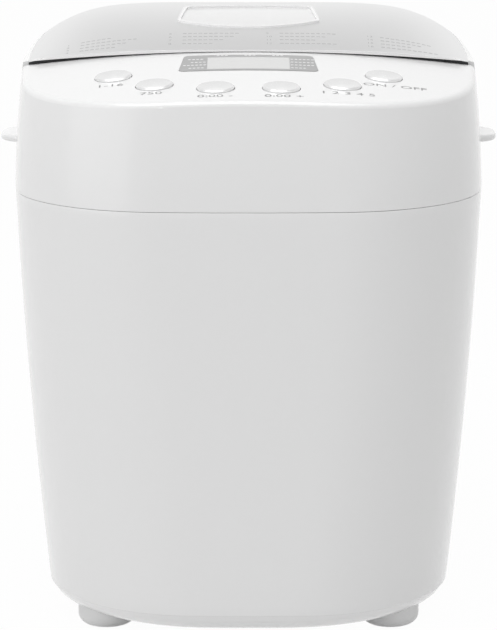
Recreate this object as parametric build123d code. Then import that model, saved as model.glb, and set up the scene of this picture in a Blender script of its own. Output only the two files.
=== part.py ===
from build123d import *
import os
from math import asin, cos, pi, radians, sin, sqrt

# Compact bread machine. Sizes are in millimetres. +X is the user's right, -Y faces the user,
# +Z is up, and the origin is the middle of the footprint on the table.

# Housing outline in plan: slightly bowed sides and ends with large tangent corner arcs
plan_side_radius = 740.0
plan_end_radius = 740.0
plan_corner_radius = 72.0
bottom_half_width = 99.2
bottom_half_depth = 142.8
seam_flare_width = 13.9
seam_flare_depth = 5.2
rim_lean_width = 4.3
rim_lean_depth = 5.4
casing_bulge = 1.55
collar_bulge = 0.75

# Housing heights and walls
casing_bottom = 16.0
seam_height = 205.0
seam_reveal = 0.6
rim_rise = 3.9
deck_drop = 5.5
deck_step = 0.6
wall = 2.5
tongue_wall = 1.8
tongue_depth = 6.0
tongue_clearance = 0.4
ledge_height = 4.0

# Base tray and feet
base_bottom = 7.5
base_tuck_width = 9.2
base_tuck_depth = 9.8
base_inset = 0.8
base_bulge = 2.2
foot_inset_x = 23.0
foot_inset_y = 32.0
foot_radius = 13.7
foot_round = 5.0
foot_pocket_clearance = 0.2
foot_pocket_wall = 2.6
foot_head_room = 0.3
pad_radius = 7.0
pad_height = 2.5
pad_proud = 0.6
foot_screw_radius = 2.0
foot_screw_head_radius = 3.8
foot_screw_head_height = 2.6
foot_counterbore_height = 9.0

# Control panel
panel_front_margin = 0.7
panel_front_drop = 0.6
panel_slope = 8.0
panel_crown_radius = 700.0
panel_edge_round = 3.0
panel_depth = 85.8
panel_rear_bow = 5.5
bow_side_margin = 3.8
lcd_rear_margin = 6.5
lcd_depth = 26.8
lcd_rear_half_width = 30.0
lcd_front_half_width = 32.3
lcd_corner_radius = 2.5
lcd_fit = 0.15
lens_proud = 0.2
lens_flange = 2.0
lens_flange_thickness = 1.5
lens_thickness = 2.5
display_half_width = 27.0
display_half_depth = 11.5
module_gap = 0.3

# Push buttons: a curved row of three pairs, set back from the panel's front edge
outer_button_side_room = 46.6
outer_button_setback = 50.5
middle_button_x = 42.7
middle_button_setback = 30.8
inner_button_x = 14.8
inner_button_setback = 22.2
button_radius = 8.5
button_hole_clearance = 0.3
button_proud = 1.2
button_bevel = 0.6
button_dish = 0.4
button_flange_radius = 10.3
button_flange_thickness = 1.5
button_flange_gap = 0.35
button_stem_radius = 2.5
button_stem_length = 9.0
button_travel = 1.2
switch_gap = 0.3

# Control board under the panel
board_depth = 18.0
board_thickness = 1.6
board_side_margin = 7.8
board_front_gap = 15.3
board_rear_gap = 10.5
board_corner_radius = 4.0
board_post_inset = 10.2
board_rear_post_gap = 20.5
board_front_post_gap = 36.3
board_post_radius = 4.0
board_screw_radius = 1.3
board_screw_head_radius = 2.8
board_screw_head_height = 1.8
board_screw_bite = 7.0
switch_size = 6.0
switch_height = 3.5
plunger_radius = 1.75

# Side carrying ledges
ear_rise = 14.3
ear_length = 34.0
ear_reach = 9.2
ear_thickness = 3.2
ear_edge_round = 1.2
ear_side_lean = 0.35
ear_root_length = 26.0
ear_root_depth = 3.0
ear_fit = 0.1

# Lid
lid_gap = 0.6
lid_wall = 2.6
crest_height = 279.6
lid_rise = 24.1
crest_setback = 85.6
lid_front_drop = 11.7
lid_front_lead = 0.5
lid_rear_drop = 17.1
lid_rear_inset = 0.6
dome_exponent = 5.4
dome_side_run = 15.2
dome_floor_drop = 19.1
front_exponent = 2.3
front_floor_rise = 5.0
front_blend = 70.0
dome_samples = 13
dome_section_shares = (-0.7, 0.0, 0.8)
lip_gap = 0.35
lip_crown_radius = 900.0
lip_overhang = 1.5
frame_setback = 1.0
frame_wall = 2.0
frame_floor = 2.0
frame_fit = 0.2
plate_inset = 2.8
plate_thickness = 0.5
plate_recess = 0.1

# Window in the lid
window_setback = 42.2
window_front_bow = 12.0
window_depth = 35.5
window_rear_bow = 4.0
window_front_half_width = 34.5
window_rear_half_width = 31.5
window_corner_radius = 4.0
bezel_width = 1.4
bezel_proud = 0.8
bezel_depth = 4.0
pane_recess = 0.2
pane_thickness = 2.5

# Throat, oven chamber and lid liner
throat_side_gap = 34.8
throat_front_gap = 15.5
throat_rear_gap = 24.6
throat_radius = 20.0
throat_lip_height = 1.5
throat_lip_width = 2.0
seal_offset = 3.5
seal_width = 4.5
seal_clearance = 0.4
liner_margin = 10.0
liner_thickness = 0.8
dish_margin = 14.0
dish_radius = 18.0
dish_rise = 6.0
dish_fit = 0.3
inner_pane_half_width = 42.0
inner_pane_half_depth = 34.0
inner_pane_front_gap = 2.0
inner_pane_radius = 6.0
inner_pane_lap = 4.0
inner_pane_thickness = 3.0
lid_screw_side_gap = 18.8
lid_screw_front_gap = 38.0
lid_screw_rear_gap = 62.0
lid_screw_radius = 1.5
lid_screw_head_radius = 3.0
lid_screw_head_height = 1.8
lid_boss_radius = 4.0

# Lid hinges
hinge_side_gap = 54.2
hinge_stand_off = 0.3
knuckle_radius = 4.2
lid_knuckle_width = 12.0
collar_knuckle_width = 5.6
knuckle_gap = 0.4
knuckle_clearance = 0.5
knuckle_web_height = 16.0
knuckle_web_radius = 1.5
pin_radius = 2.0
pin_running_clearance = 0.05

# Oven chamber and heater
chamber_margin = 1.5
chamber_stand = 12.0
chamber_sheet = 0.8
chamber_flange = 8.0
chamber_shaft_hole_clearance = 1.5
heater_rise = 13.0
heater_radius = 3.2
heater_side_gap = 11.0
heater_end_gap = 14.0
heater_bend_radius = 12.0
heater_terminal_x = 14.0
heater_terminal_length = 16.0
heater_bush_radius = 5.6
heater_bush_outer_length = 8.0
heater_bush_inner_length = 3.0
heater_clip_width = 6.0
heater_clip_wall = 1.2
sensor_radius = 3.0
sensor_length = 16.0
sensor_x = 44.0
sensor_rise = 48.0

# Chassis, posts and drive
chassis_top = 60.0
chassis_thickness = 2.0
chassis_side_gap = 17.2
chassis_front_gap = 16.8
chassis_rear_gap = 30.8
chassis_corner_radius = 34.0
chassis_post_inset = 8.0
chassis_post_foot_gap = 33.0
chassis_post_radius = 6.0
chassis_screw_radius = 1.6
chassis_screw_head_radius = 3.4
chassis_screw_head_height = 2.0
chassis_screw_length = 12.0
oven_post_inset = 22.0
oven_post_radius = 5.0
bearing_radius = 9.0
bearing_flange_radius = 14.0
bearing_flange_thickness = 3.0
bearing_above_chassis = 14.0
shaft_radius = 4.0
shaft_running_clearance = 0.05
driven_pulley_radius = 45.0
motor_pulley_radius = 9.0
pulley_flange_height = 2.5
pulley_flange_thickness = 1.5
pulley_top_gap = 6.0
pulley_hub_radius = 10.0
pulley_web_thickness = 3.0
pulley_rim_thickness = 4.0
pulley_hole_count = 6
pulley_hole_radius = 7.0
belt_width = 8.0
belt_side_gap = 0.5
belt_thickness = 2.4
belt_clearance = 0.08

# Motor
motor_front_gap = 47.8
motor_radius = 31.0
motor_height = 70.0
motor_edge_round = 4.0
motor_shaft_radius = 3.0
motor_fan_gap = 2.0
motor_fan_height = 8.0
motor_fan_radius = 25.0
motor_fan_hub_radius = 7.0
motor_fan_blades = 9
motor_fan_blade_thickness = 1.6

# Power board
power_board_side_gap = 37.2
power_board_half_length = 34.0
power_board_height = 62.0
relay_size = (14.0, 20.0, 18.0)
capacitor_radius = 7.0
capacitor_length = 16.0

# Cord gland in the rear wall
gland_x = 18.0
gland_height = 42.0
gland_radius = 6.0
gland_bore = 3.5
gland_flange_radius = 9.0
gland_flange_thickness = 2.0
gland_inner_length = 8.0

# Vents in the rear wall
vent_count = 7
vent_length = 62.0
vent_width = 3.0
vent_pitch = 8.0
vent_drop = 77.0

# Bread pan
pan_stand = 20.0
pan_height = 112.0
pan_throat_gap = 12.0
pan_taper_width = 8.0
pan_taper_depth = 9.0
pan_corner_radius = 22.0
pan_wall = 1.6
pan_bead = 1.0
pan_bead_height = 2.0
pan_shaft_boss_radius = 11.0
pan_shaft_boss_height = 6.0
flange_inner_radius = 21.0
flange_outer_radius = 24.0
flange_drop = 16.0
lug_count = 3
lug_reach = 3.5
lug_height = 3.0
lug_half_angle = 4.0
socket_clearance = 0.4
socket_wall = 3.0
socket_top_cover = 4.5
socket_slot_spare = 1.0

# Dog clutch, pan shaft and kneading paddle
dog_height = 6.0
dog_radius = 12.5
dog_gap = 1.0
dog_peg_radius = 2.2
dog_peg_offset = 9.6
dog_peg_height = 5.5
coupling_clearance = 0.6
coupling_hub_wall = 1.6
coupling_wing_length = 12.0
coupling_wing_width = 3.6
coupling_height = 4.6
pan_seal_radius = 9.0
pan_seal_height = 3.0
paddle_gap = 0.6
paddle_hub_radius = 9.0
paddle_hub_height = 22.0
paddle_reach = 34.0
paddle_tip_height = 9.0
paddle_blade_thickness = 4.0
paddle_cover = 3.0
paddle_shoulder_share = 0.6
paddle_tip_lean = 0.2

# Pan handle
pivot_drop = 12.0
pivot_radius = 3.2
pivot_head_radius = 5.0
pivot_head_thickness = 1.4
pivot_side_gap = 0.4
bail_eye_radius = 6.0
bail_eye_width = 4.0
bail_length = 52.0
bail_rest_angle = 20.0
bail_wire_radius = 2.2
bail_bend_radius = 14.0

# Plan sizes that follow from the sizes above
seam_half_width = bottom_half_width + seam_flare_width
seam_half_depth = bottom_half_depth + seam_flare_depth
rim_half_width = seam_half_width - rim_lean_width
rim_half_depth = seam_half_depth - rim_lean_depth
base_half_width = bottom_half_width - base_tuck_width
base_half_depth = bottom_half_depth - base_tuck_depth
foot_x = base_half_width - foot_inset_x
foot_y = base_half_depth - foot_inset_y
chassis_half_width = bottom_half_width - chassis_side_gap
chassis_front_y = chassis_front_gap - bottom_half_depth
chassis_rear_y = bottom_half_depth - chassis_rear_gap
chassis_post_x = chassis_half_width - chassis_post_inset
chassis_post_y = foot_y - chassis_post_foot_gap
motor_y = motor_front_gap - bottom_half_depth
power_board_x = power_board_side_gap - bottom_half_width
panel_front_y = -rim_half_depth - panel_front_margin
panel_rear_y = panel_front_y + panel_depth
bow_half_span = rim_half_width - bow_side_margin
lcd_rear_y = panel_rear_y - lcd_rear_margin
lcd_front_y = lcd_rear_y - lcd_depth
outer_button_x = rim_half_width - outer_button_side_room
board_half_width = outer_button_x + board_side_margin
board_front_y = panel_front_y + board_front_gap
board_rear_y = panel_rear_y - board_rear_gap
board_post_x = outer_button_x - board_post_inset
throat_front_y = panel_rear_y + throat_front_gap
throat_rear_y = rim_half_depth - throat_rear_gap
oven_y = (throat_front_y + throat_rear_y) / 2
throat_half_width = rim_half_width - throat_side_gap
throat_half_depth = (throat_rear_y - throat_front_y) / 2
dish_half_width = throat_half_width - dish_margin
dish_half_depth = throat_half_depth - dish_margin
heater_half_width = throat_half_width - heater_side_gap
heater_half_depth = throat_half_depth - heater_end_gap
oven_post_x = throat_half_width - oven_post_inset
oven_post_offset = throat_half_depth - oven_post_inset
pan_top_half_width = throat_half_width - pan_throat_gap
pan_top_half_depth = throat_half_depth - pan_throat_gap
pan_bottom_half_width = pan_top_half_width - pan_taper_width
pan_bottom_half_depth = pan_top_half_depth - pan_taper_depth
dome_half_span = rim_half_width + dome_side_run
lid_front_y = panel_rear_y - lid_front_lead
lid_rear_y = rim_half_depth - lid_rear_inset
crest_y = lid_front_y + crest_setback
window_front_y = lid_front_y + window_setback
window_rear_y = window_front_y + window_depth
inner_pane_y = oven_y - dish_half_depth + inner_pane_front_gap + inner_pane_half_depth
lid_screw_x = rim_half_width - lid_screw_side_gap
lid_screw_ys = (lid_front_y + lid_screw_front_gap, lid_rear_y - lid_screw_rear_gap)

# Button and board post places, from the user's left to right
button_places = {
    "button_menu": (-outer_button_x, panel_front_y + outer_button_setback),
    "button_weight": (-middle_button_x, panel_front_y + middle_button_setback),
    "button_timer_down": (-inner_button_x, panel_front_y + inner_button_setback),
    "button_timer_up": (inner_button_x, panel_front_y + inner_button_setback),
    "button_crust": (middle_button_x, panel_front_y + middle_button_setback),
    "button_start": (outer_button_x, panel_front_y + outer_button_setback),
}
board_post_places = (
    (-board_post_x, panel_rear_y - board_rear_post_gap),
    (board_post_x, panel_rear_y - board_rear_post_gap),
    (0.0, panel_front_y + board_front_post_gap),
)

# Heights that follow from the sizes above
parting_height = crest_height - lid_rise
rim_height = parting_height + rim_rise
panel_front_height = parting_height - panel_front_drop
lid_front_height = crest_height - lid_front_drop
lid_rear_height = crest_height - lid_rear_drop
dome_floor_height = parting_height - dome_floor_drop
front_floor_height = parting_height + front_floor_rise
ear_height = seam_height + ear_rise
vent_bottom = seam_height - vent_drop
chamber_floor = chassis_top + chamber_stand
heater_height = chamber_floor + heater_rise
sensor_height = chamber_floor + sensor_rise
pan_bottom = chamber_floor + pan_stand
collar_bottom = seam_height + seam_reveal
tongue_bottom = seam_height - tongue_depth
deck_top = parting_height - deck_drop
deck_bottom = deck_top - wall
lid_bottom = parting_height + lid_gap
loft_top = crest_height + wall
tool_half_width = seam_half_width + ear_reach
tool_reach = 3 * seam_half_depth
foot_top = casing_bottom - foot_head_room
board_bottom_depth = board_depth + board_thickness
chassis_bottom = chassis_top - chassis_thickness
bearing_top = chassis_top + bearing_above_chassis
dog_bottom = bearing_top + dog_gap
dog_top = dog_bottom + dog_height
peg_top = dog_top + dog_peg_height
coupling_bottom = dog_top + coupling_clearance
pulley_top = chassis_bottom - pulley_top_gap
pulley_height = belt_width + 2 * belt_side_gap + 2 * pulley_flange_thickness
pulley_bottom = pulley_top - pulley_height
flange_bottom = pan_bottom - flange_drop
socket_top = flange_bottom + lug_height + socket_clearance + socket_top_cover
socket_slot_turn = 2 * lug_half_angle + socket_slot_spare
pan_top = pan_bottom + pan_height
pan_floor_top = pan_bottom + pan_wall
seal_top = pan_floor_top + pan_shaft_boss_height
paddle_bottom = seal_top + paddle_gap
pivot_height = pan_top - pivot_drop
motor_top = chassis_top + motor_height
frame_bottom = lid_bottom
liner_bottom = frame_bottom - liner_thickness


def swell(low_size, high_size, share, bulge):
    """Straight taper between two sizes with a parabolic bulge in the middle."""
    return low_size + (high_size - low_size) * share + 4 * bulge * share * (1 - share)


def casing_sizes(height):
    """Half width and half depth of the lower casing at a height."""
    share = (height - casing_bottom) / (seam_height - casing_bottom)
    half_width = swell(bottom_half_width, seam_half_width, share, casing_bulge)
    half_depth = swell(bottom_half_depth, seam_half_depth, share, casing_bulge)
    return half_width, half_depth


def collar_sizes(height):
    """Half width and half depth of the collar and the lid at a height."""
    share = (height - seam_height) / (rim_height - seam_height)
    half_width = swell(seam_half_width, rim_half_width, share, collar_bulge)
    half_depth = swell(seam_half_depth, rim_half_depth, share, collar_bulge)
    return half_width, half_depth


def base_sizes(height):
    """Half width and half depth of the base tray at a height."""
    share = (height - base_bottom) / (casing_bottom - base_bottom)
    half_width = swell(base_half_width, bottom_half_width - base_inset, share, base_bulge)
    half_depth = swell(base_half_depth, bottom_half_depth - base_inset, share, base_bulge)
    return half_width, half_depth


hinge_x = bottom_half_width - hinge_side_gap
hinge_height = parting_height + lid_gap / 2
hinge_y = collar_sizes(hinge_height)[1] + hinge_stand_off


def outline_points(half_width, half_depth, inset):
    """Ends and middles of the eight tangent arcs of the plan outline, drawn in by inset."""
    width = half_width - inset
    depth = half_depth - inset
    side_radius = plan_side_radius - inset
    end_radius = plan_end_radius - inset
    corner_radius = plan_corner_radius - inset
    side_centre = Vector(width - side_radius, 0)
    end_centre = Vector(0, depth - end_radius)
    gap = end_centre - side_centre
    side_reach = side_radius - corner_radius
    end_reach = end_radius - corner_radius
    along = (side_reach ** 2 - end_reach ** 2 + gap.length ** 2) / (2 * gap.length)
    across = sqrt(side_reach ** 2 - along ** 2)
    unit = gap.normalized()
    corner = side_centre + unit * along + Vector(-unit.Y, unit.X) * across
    side_end = side_centre + (corner - side_centre) * (side_radius / side_reach)
    end_start = end_centre + (corner - end_centre) * (end_radius / end_reach)
    lean = (side_end - corner).normalized() + (end_start - corner).normalized()
    middle = corner + lean.normalized() * corner_radius
    bends = [(point.X, point.Y) for point in (side_end, middle, end_start)]
    quarter = [(width, 0)] + bends + [(0, depth)]
    rear = quarter + [(-x, y) for x, y in reversed(quarter[:-1])]
    return rear + [(x, -y) for x, y in reversed(rear[1:-1])]


def outline_face(half_width, half_depth, inset, height):
    """Flat face inside the plan outline at one height."""
    points = outline_points(half_width, half_depth, inset)
    count = len(points)
    arcs = []
    for start in range(1, count, 2):
        arcs.append(ThreePointArc(points[start], points[(start + 1) % count], points[(start + 2) % count]))
    return Pos(0, 0, height) * make_face(arcs)


def plan_loft(sizes, low, high, inset=0.0):
    """Solid that follows the plan outline between two heights, drawn in by inset."""
    sections = []
    for height in (low, (low + high) / 2, high):
        half_width, half_depth = sizes(height)
        sections.append(outline_face(half_width, half_depth, inset, height))
    return loft(sections)


def plan_ring(sizes, low, high, outer_inset, inner_inset):
    """Ring between two insets of the plan outline."""
    return plan_loft(sizes, low, high, outer_inset) - plan_loft(sizes, low, high, inner_inset)


def cylinder_between(x, y, radius, low, high):
    """Upright cylinder between two heights."""
    upright = (Align.CENTER, Align.CENTER, Align.MIN)
    return Pos(x, y, low) * Cylinder(radius, high - low, align=upright)


def tube_between(x, y, outer, inner, low, high):
    """Upright tube between two heights."""
    return cylinder_between(x, y, outer, low, high) - cylinder_between(x, y, inner, low, high)


def rounded_prism(y, half_width, half_depth, radius, low, high):
    """Upright prism with a rounded rectangular plan, centred on x = 0."""
    plan = Pos(0, y, low) * RectangleRounded(2 * half_width, 2 * half_depth, radius)
    return extrude(plan, amount=high - low, dir=(0, 0, 1))


def throat_prism(margin, low, high):
    """Upright prism with the plan of the oven throat, grown by a margin."""
    return rounded_prism(oven_y, throat_half_width + margin, throat_half_depth + margin,
                         throat_radius + margin, low, high)


def cylinder_along_x(radius, low_x, high_x):
    """Cylinder on the lid's hinge line between two places along X."""
    bar = Cylinder(radius, high_x - low_x)
    return Pos((low_x + high_x) / 2, hinge_y, hinge_height) * Rot(0, 90, 0) * bar


def under_slope(lift, crown_radius):
    """Everything below the crowned, sloping panel surface raised by lift."""
    tilt = radians(panel_slope)
    slope = Plane(origin=(0, panel_front_y, panel_front_height + lift), x_dir=(1, 0, 0),
                  z_dir=(0, cos(tilt), sin(tilt)))
    sag = crown_radius - sqrt(crown_radius ** 2 - tool_half_width ** 2)
    crown = ThreePointArc((-tool_half_width, sag), (0, 0), (tool_half_width, sag))
    skirt = Polyline((tool_half_width, sag), (tool_half_width, panel_front_height),
                     (-tool_half_width, panel_front_height), (-tool_half_width, sag))
    return extrude(slope * make_face(crown.edges() + skirt.edges()), amount=tool_reach, both=True)


def panel_layer(top_drop, bottom_drop):
    """Layer between two depths below the panel surface."""
    return under_slope(-top_drop, panel_crown_radius) - under_slope(-bottom_drop, panel_crown_radius)


def behind_panel(offset, low, high):
    """Everything behind the panel's bowed rear edge, moved back by offset."""
    bow_radius = (bow_half_span ** 2 + panel_rear_bow ** 2) / (2 * panel_rear_bow)
    front = panel_rear_y + offset
    side = front + bow_radius - sqrt(bow_radius ** 2 - tool_half_width ** 2)
    bow = ThreePointArc((-tool_half_width, side), (0, front), (tool_half_width, side))
    back = Polyline((tool_half_width, side), (tool_half_width, tool_reach),
                    (-tool_half_width, tool_reach), (-tool_half_width, side))
    return extrude(Pos(0, 0, low) * make_face(bow.edges() + back.edges()), amount=high - low,
                   dir=(0, 0, 1))


def panel_plane(x, y):
    """Plane on the panel surface at a place in plan, with its Z along the outward normal."""
    tilt = radians(panel_slope)
    lean = asin(x / panel_crown_radius)
    sag = panel_crown_radius * (1 - cos(lean))
    run = (y - panel_front_y - sag * sin(tilt)) / cos(tilt)
    height = panel_front_height + run * sin(tilt) - sag * cos(tilt)
    across = (cos(lean), sin(lean) * sin(tilt), -sin(lean) * cos(tilt))
    normal = (sin(lean), -cos(lean) * sin(tilt), cos(lean) * cos(tilt))
    return Plane(origin=(x, y, height), x_dir=across, z_dir=normal)


def board_plane():
    """Plane of the control board's upper face."""
    middle_y = (board_front_y + board_rear_y) / 2
    return panel_plane(0, middle_y).offset(-board_depth)


def dome_point_height(x, y):
    """Height of the lid's crowned surface: a bow along Y and a flat-topped crown across X."""
    if y < crest_y:
        fall = (crest_height - lid_front_height) * ((y - crest_y) / (lid_front_y - crest_y)) ** 2
    else:
        fall = (crest_height - lid_rear_height) * ((y - crest_y) / (lid_rear_y - crest_y)) ** 2
    share = min(max((y - lid_front_y) / front_blend, 0), 1)
    floor = front_floor_height + (dome_floor_height - front_floor_height) * share
    power = front_exponent + (dome_exponent - front_exponent) * share
    return floor + (crest_height - fall - floor) * (1 - abs(x / dome_half_span) ** power)


def under_dome(drop):
    """Everything below the lid's crowned surface lowered by drop."""
    half_width = (seam_half_width + dome_half_span) / 2
    bottom = dome_floor_height - 2 * wall - drop
    front_y = lid_front_y - front_blend / 4
    rear_y = lid_rear_y + front_blend / 8
    middle_ys = [crest_y + front_blend * share for share in dome_section_shares]
    sections = []
    for y in [front_y] + middle_ys + [rear_y]:
        points = []
        for step in range(dome_samples):
            x = half_width * (2 * step / (dome_samples - 1) - 1)
            points.append((x, y, dome_point_height(x, y) - drop))
        skirt = Polyline(points[-1], (half_width, y, bottom), (-half_width, y, bottom), points[0])
        sections.append(make_face(Spline(*points).edges() + skirt.edges()))
    return loft(sections)


def dome_layer(top_drop, bottom_drop):
    """Layer between two depths below the lid's crowned surface."""
    return under_dome(top_drop) - under_dome(bottom_drop)


def lower_casing():
    """Tapered, barrelled outer shell with a ledge for the collar, vents and a cord hole."""
    shell = plan_loft(casing_sizes, casing_bottom, seam_height)
    shell -= plan_loft(casing_sizes, casing_bottom - wall, seam_height + wall, wall)
    ledge_inset = wall + tongue_clearance + 2 * tongue_wall
    shell += plan_ring(casing_sizes, tongue_bottom - ledge_height, tongue_bottom, wall / 2, ledge_inset)
    shell -= rear_vents()
    shell -= gland_bar(gland_radius, -2 * wall, 2 * wall)
    return shell


def rear_vents():
    """Row of level cooling slots through the rear wall."""
    slots = []
    for row in range(vent_count):
        height = vent_bottom + row * vent_pitch
        slot = Plane(origin=(0, oven_y, height), x_dir=(1, 0, 0), z_dir=(0, 1, 0)) * SlotOverall(
            vent_length, vent_width)
        rear = extrude(slot, amount=tool_reach, dir=(0, 1, 0))
        slots.append(rear - rounded_prism(oven_y, tool_half_width, throat_half_depth + chamber_flange,
                                          throat_radius, 0, loft_top))
    return slots


def gland_bar(radius, start, end):
    """Cylinder along Y on the cord hole, from start to end measured from the rear wall."""
    half_depth = casing_sizes(gland_height)[1]
    wall_y = half_depth - plan_end_radius + sqrt(plan_end_radius ** 2 - gland_x ** 2)
    bar = Cylinder(radius, end - start)
    return Pos(gland_x, wall_y + (start + end) / 2, gland_height) * Rot(90, 0, 0) * bar


def cord_gland():
    """Flanged bush in the rear wall where the mains cord enters."""
    gland = gland_bar(gland_radius, -wall - gland_inner_length, gland_flange_thickness)
    gland += gland_bar(gland_flange_radius, 0, gland_flange_thickness) - gland_skin()
    return gland - gland_bar(gland_bore, -2 * gland_inner_length, 2 * gland_inner_length)


def gland_skin():
    """Casing volume that the gland's flange seats against."""
    return plan_loft(casing_sizes, casing_bottom, seam_height)


def foot_places():
    """Plan places of the four feet."""
    return [(side * foot_x, end * foot_y) for end in (-1, 1) for side in (-1, 1)]


def chassis_places():
    """Plan places of the posts that carry the chassis plate."""
    return [(side * chassis_post_x, end * chassis_post_y) for end in (-1, 1) for side in (-1, 1)]


def base_plate():
    """Shallow tray with foot pockets, chassis posts and a tongue inside the casing."""
    hull = plan_loft(base_sizes, base_bottom, casing_bottom)
    tray = hull - plan_loft(base_sizes, base_bottom + wall, casing_bottom + wall, wall)
    tray += plan_ring(casing_sizes, casing_bottom - tongue_wall, casing_bottom + tongue_depth,
                      wall + tongue_clearance, wall + tongue_clearance + tongue_wall)
    pocket_radius = foot_radius + foot_pocket_clearance
    boss_radius = pocket_radius + foot_pocket_wall
    boss_top = foot_top + foot_pocket_wall
    bay = plan_loft(casing_sizes, casing_bottom - wall, boss_top + wall, wall + tongue_clearance)
    for x, y in foot_places():
        tray += cylinder_between(x, y, boss_radius, base_bottom, casing_bottom) & hull
        tray += cylinder_between(x, y, boss_radius, casing_bottom - foot_head_room, boss_top) & bay
    for x, y in foot_places():
        tray -= cylinder_between(x, y, pocket_radius, 0, foot_top)
        tray -= cylinder_between(x, y, foot_screw_radius, 0, boss_top)
    for x, y in chassis_places():
        post = cylinder_between(x, y, chassis_post_radius, base_bottom + wall / 2, chassis_bottom)
        tray += post - cylinder_between(x, y, chassis_screw_radius,
                                        chassis_bottom - chassis_screw_length, chassis_bottom)
    return tray


def foot(x, y):
    """Round foot with a soft lower edge, a pad recess and a hidden screw."""
    bottom = pad_proud
    flat_radius = foot_radius - foot_round
    shoulder = bottom + foot_round
    outline = Polyline((0, bottom), (flat_radius, bottom))
    outline += RadiusArc((flat_radius, bottom), (foot_radius, shoulder), -foot_round)
    outline += Polyline((foot_radius, shoulder), (foot_radius, foot_top), (0, foot_top), (0, bottom))
    body = revolve(Plane.XZ * make_face(outline.edges()), axis=Axis.Z)
    body -= cylinder_between(0, 0, pad_radius, 0, pad_height)
    body -= cylinder_between(0, 0, foot_screw_head_radius, 0, foot_counterbore_height)
    body -= cylinder_between(0, 0, foot_screw_radius, 0, foot_top)
    return Pos(x, y, 0) * body


def foot_pads():
    """Rubber discs pressed into the feet."""
    return [cylinder_between(x, y, pad_radius, 0, pad_height) for x, y in foot_places()]


def foot_screws():
    """Screws that hold the feet to the base tray."""
    screws = []
    for x, y in foot_places():
        head_bottom = foot_counterbore_height - foot_screw_head_height
        head = cylinder_between(x, y, foot_screw_head_radius, head_bottom, foot_counterbore_height)
        screws.append(head + cylinder_between(x, y, foot_screw_radius, head_bottom,
                                              foot_top + foot_pocket_wall))
    return screws


def collar_blank():
    """Outside of the collar: side walls, rounded panel rim and the open bay for the lid."""
    blank = plan_loft(collar_sizes, collar_bottom, loft_top) & under_slope(0, panel_crown_radius)
    blank -= behind_panel(0, parting_height, loft_top + wall)
    return fillet([edge for edge in blank.edges() if panel_rim_edge(edge)], panel_edge_round)


def collar_void():
    """Inside of the collar, less the deck, the step behind the panel and the panel itself."""
    void = plan_loft(collar_sizes, collar_bottom - wall, loft_top, wall)
    void -= behind_panel(-wall, deck_bottom, deck_top)
    step = behind_panel(-wall, deck_bottom, loft_top + wall)
    void -= step - behind_panel(deck_step, deck_bottom, loft_top + wall)
    roof = Pos(0, 0, deck_bottom - board_depth) * Box(3 * tool_half_width, tool_reach, 2 * loft_top,
                                                      align=(Align.CENTER, Align.CENTER, Align.MIN))
    roof -= under_slope(-wall, panel_crown_radius)
    return void - (roof - behind_panel(-wall, 0, 2 * loft_top))


def upper_collar():
    """Collar with the crowned control panel, the lid bay, the deck and the oven throat."""
    collar = collar_blank() - collar_void()
    collar -= throat_prism(0, deck_bottom - wall, loft_top)
    lip = throat_prism(throat_lip_width, deck_top - wall / 2, deck_top + throat_lip_height)
    collar += lip - throat_prism(0, deck_bottom, loft_top)
    tongue_inset = wall + tongue_clearance
    tongue = plan_ring(collar_sizes, collar_bottom, collar_bottom + wall, wall / 2,
                       tongue_inset + tongue_wall)
    tongue += plan_ring(casing_sizes, tongue_bottom, collar_bottom + tongue_wall, tongue_inset,
                        tongue_inset + tongue_wall)
    collar += tongue
    cuts = [lcd_prism(lcd_fit)]
    for x, y in button_places.values():
        hole = Cylinder(button_radius + button_hole_clearance, 4 * wall)
        cuts.append(panel_plane(x, y).location * hole)
    for side in (-1, 1):
        cuts.append(ear_root(side, ear_fit))
    collar -= cuts
    collar += board_posts()
    collar -= board_post_bores()
    return hinge_to_collar(collar)


def panel_rim_edge(edge):
    """Whether an edge of the blank collar is the long rim between the panel and the side walls."""
    middle = edge @ 0.5
    on_top = middle.Z > parting_height - panel_edge_round * 4
    in_front = edge.bounding_box().min.Y < panel_rear_y - bow_half_span / 2
    return on_top and in_front


def board_posts():
    """Posts between the panel's underside and the control board."""
    posts = []
    for x, y in board_post_places:
        spot = board_plane()
        local = spot.to_local_coords(Vector(*panel_plane(x, y).origin))
        post = Cylinder(board_post_radius, local.Z - wall / 2,
                        align=(Align.CENTER, Align.CENTER, Align.MIN))
        posts.append(spot.location * Pos(local.X, local.Y, 0) * post)
    return posts


def board_pegs(radius, low, high):
    """Cylinders on the board's post axes between two heights above the board."""
    pegs = []
    for x, y in board_post_places:
        spot = board_plane()
        local = spot.to_local_coords(Vector(*panel_plane(x, y).origin))
        pegs.append(spot.location * cylinder_between(local.X, local.Y, radius, low, high))
    return pegs


def board_post_bores():
    """Screw bores in the posts."""
    return board_pegs(board_screw_radius, 0, board_screw_bite)


def board_screws():
    """Screws that hold the control board to its posts."""
    shanks = board_pegs(board_screw_radius, -board_thickness, board_screw_bite)
    head_bottom = -board_thickness - board_screw_head_height
    heads = board_pegs(board_screw_head_radius, head_bottom, -board_thickness)
    return [head + shank for head, shank in zip(heads, shanks)]


def knuckle_spans():
    """X ranges of the collar's and the lid's knuckles on both hinges."""
    collar_spans = []
    lid_spans = []
    for side in (-1, 1):
        middle = side * hinge_x
        inner = lid_knuckle_width / 2
        lid_spans.append((middle - inner, middle + inner))
        outer = inner + knuckle_gap + collar_knuckle_width
        collar_spans.append((middle - outer, middle - inner - knuckle_gap))
        collar_spans.append((middle + inner + knuckle_gap, middle + outer))
    return collar_spans, lid_spans


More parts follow.
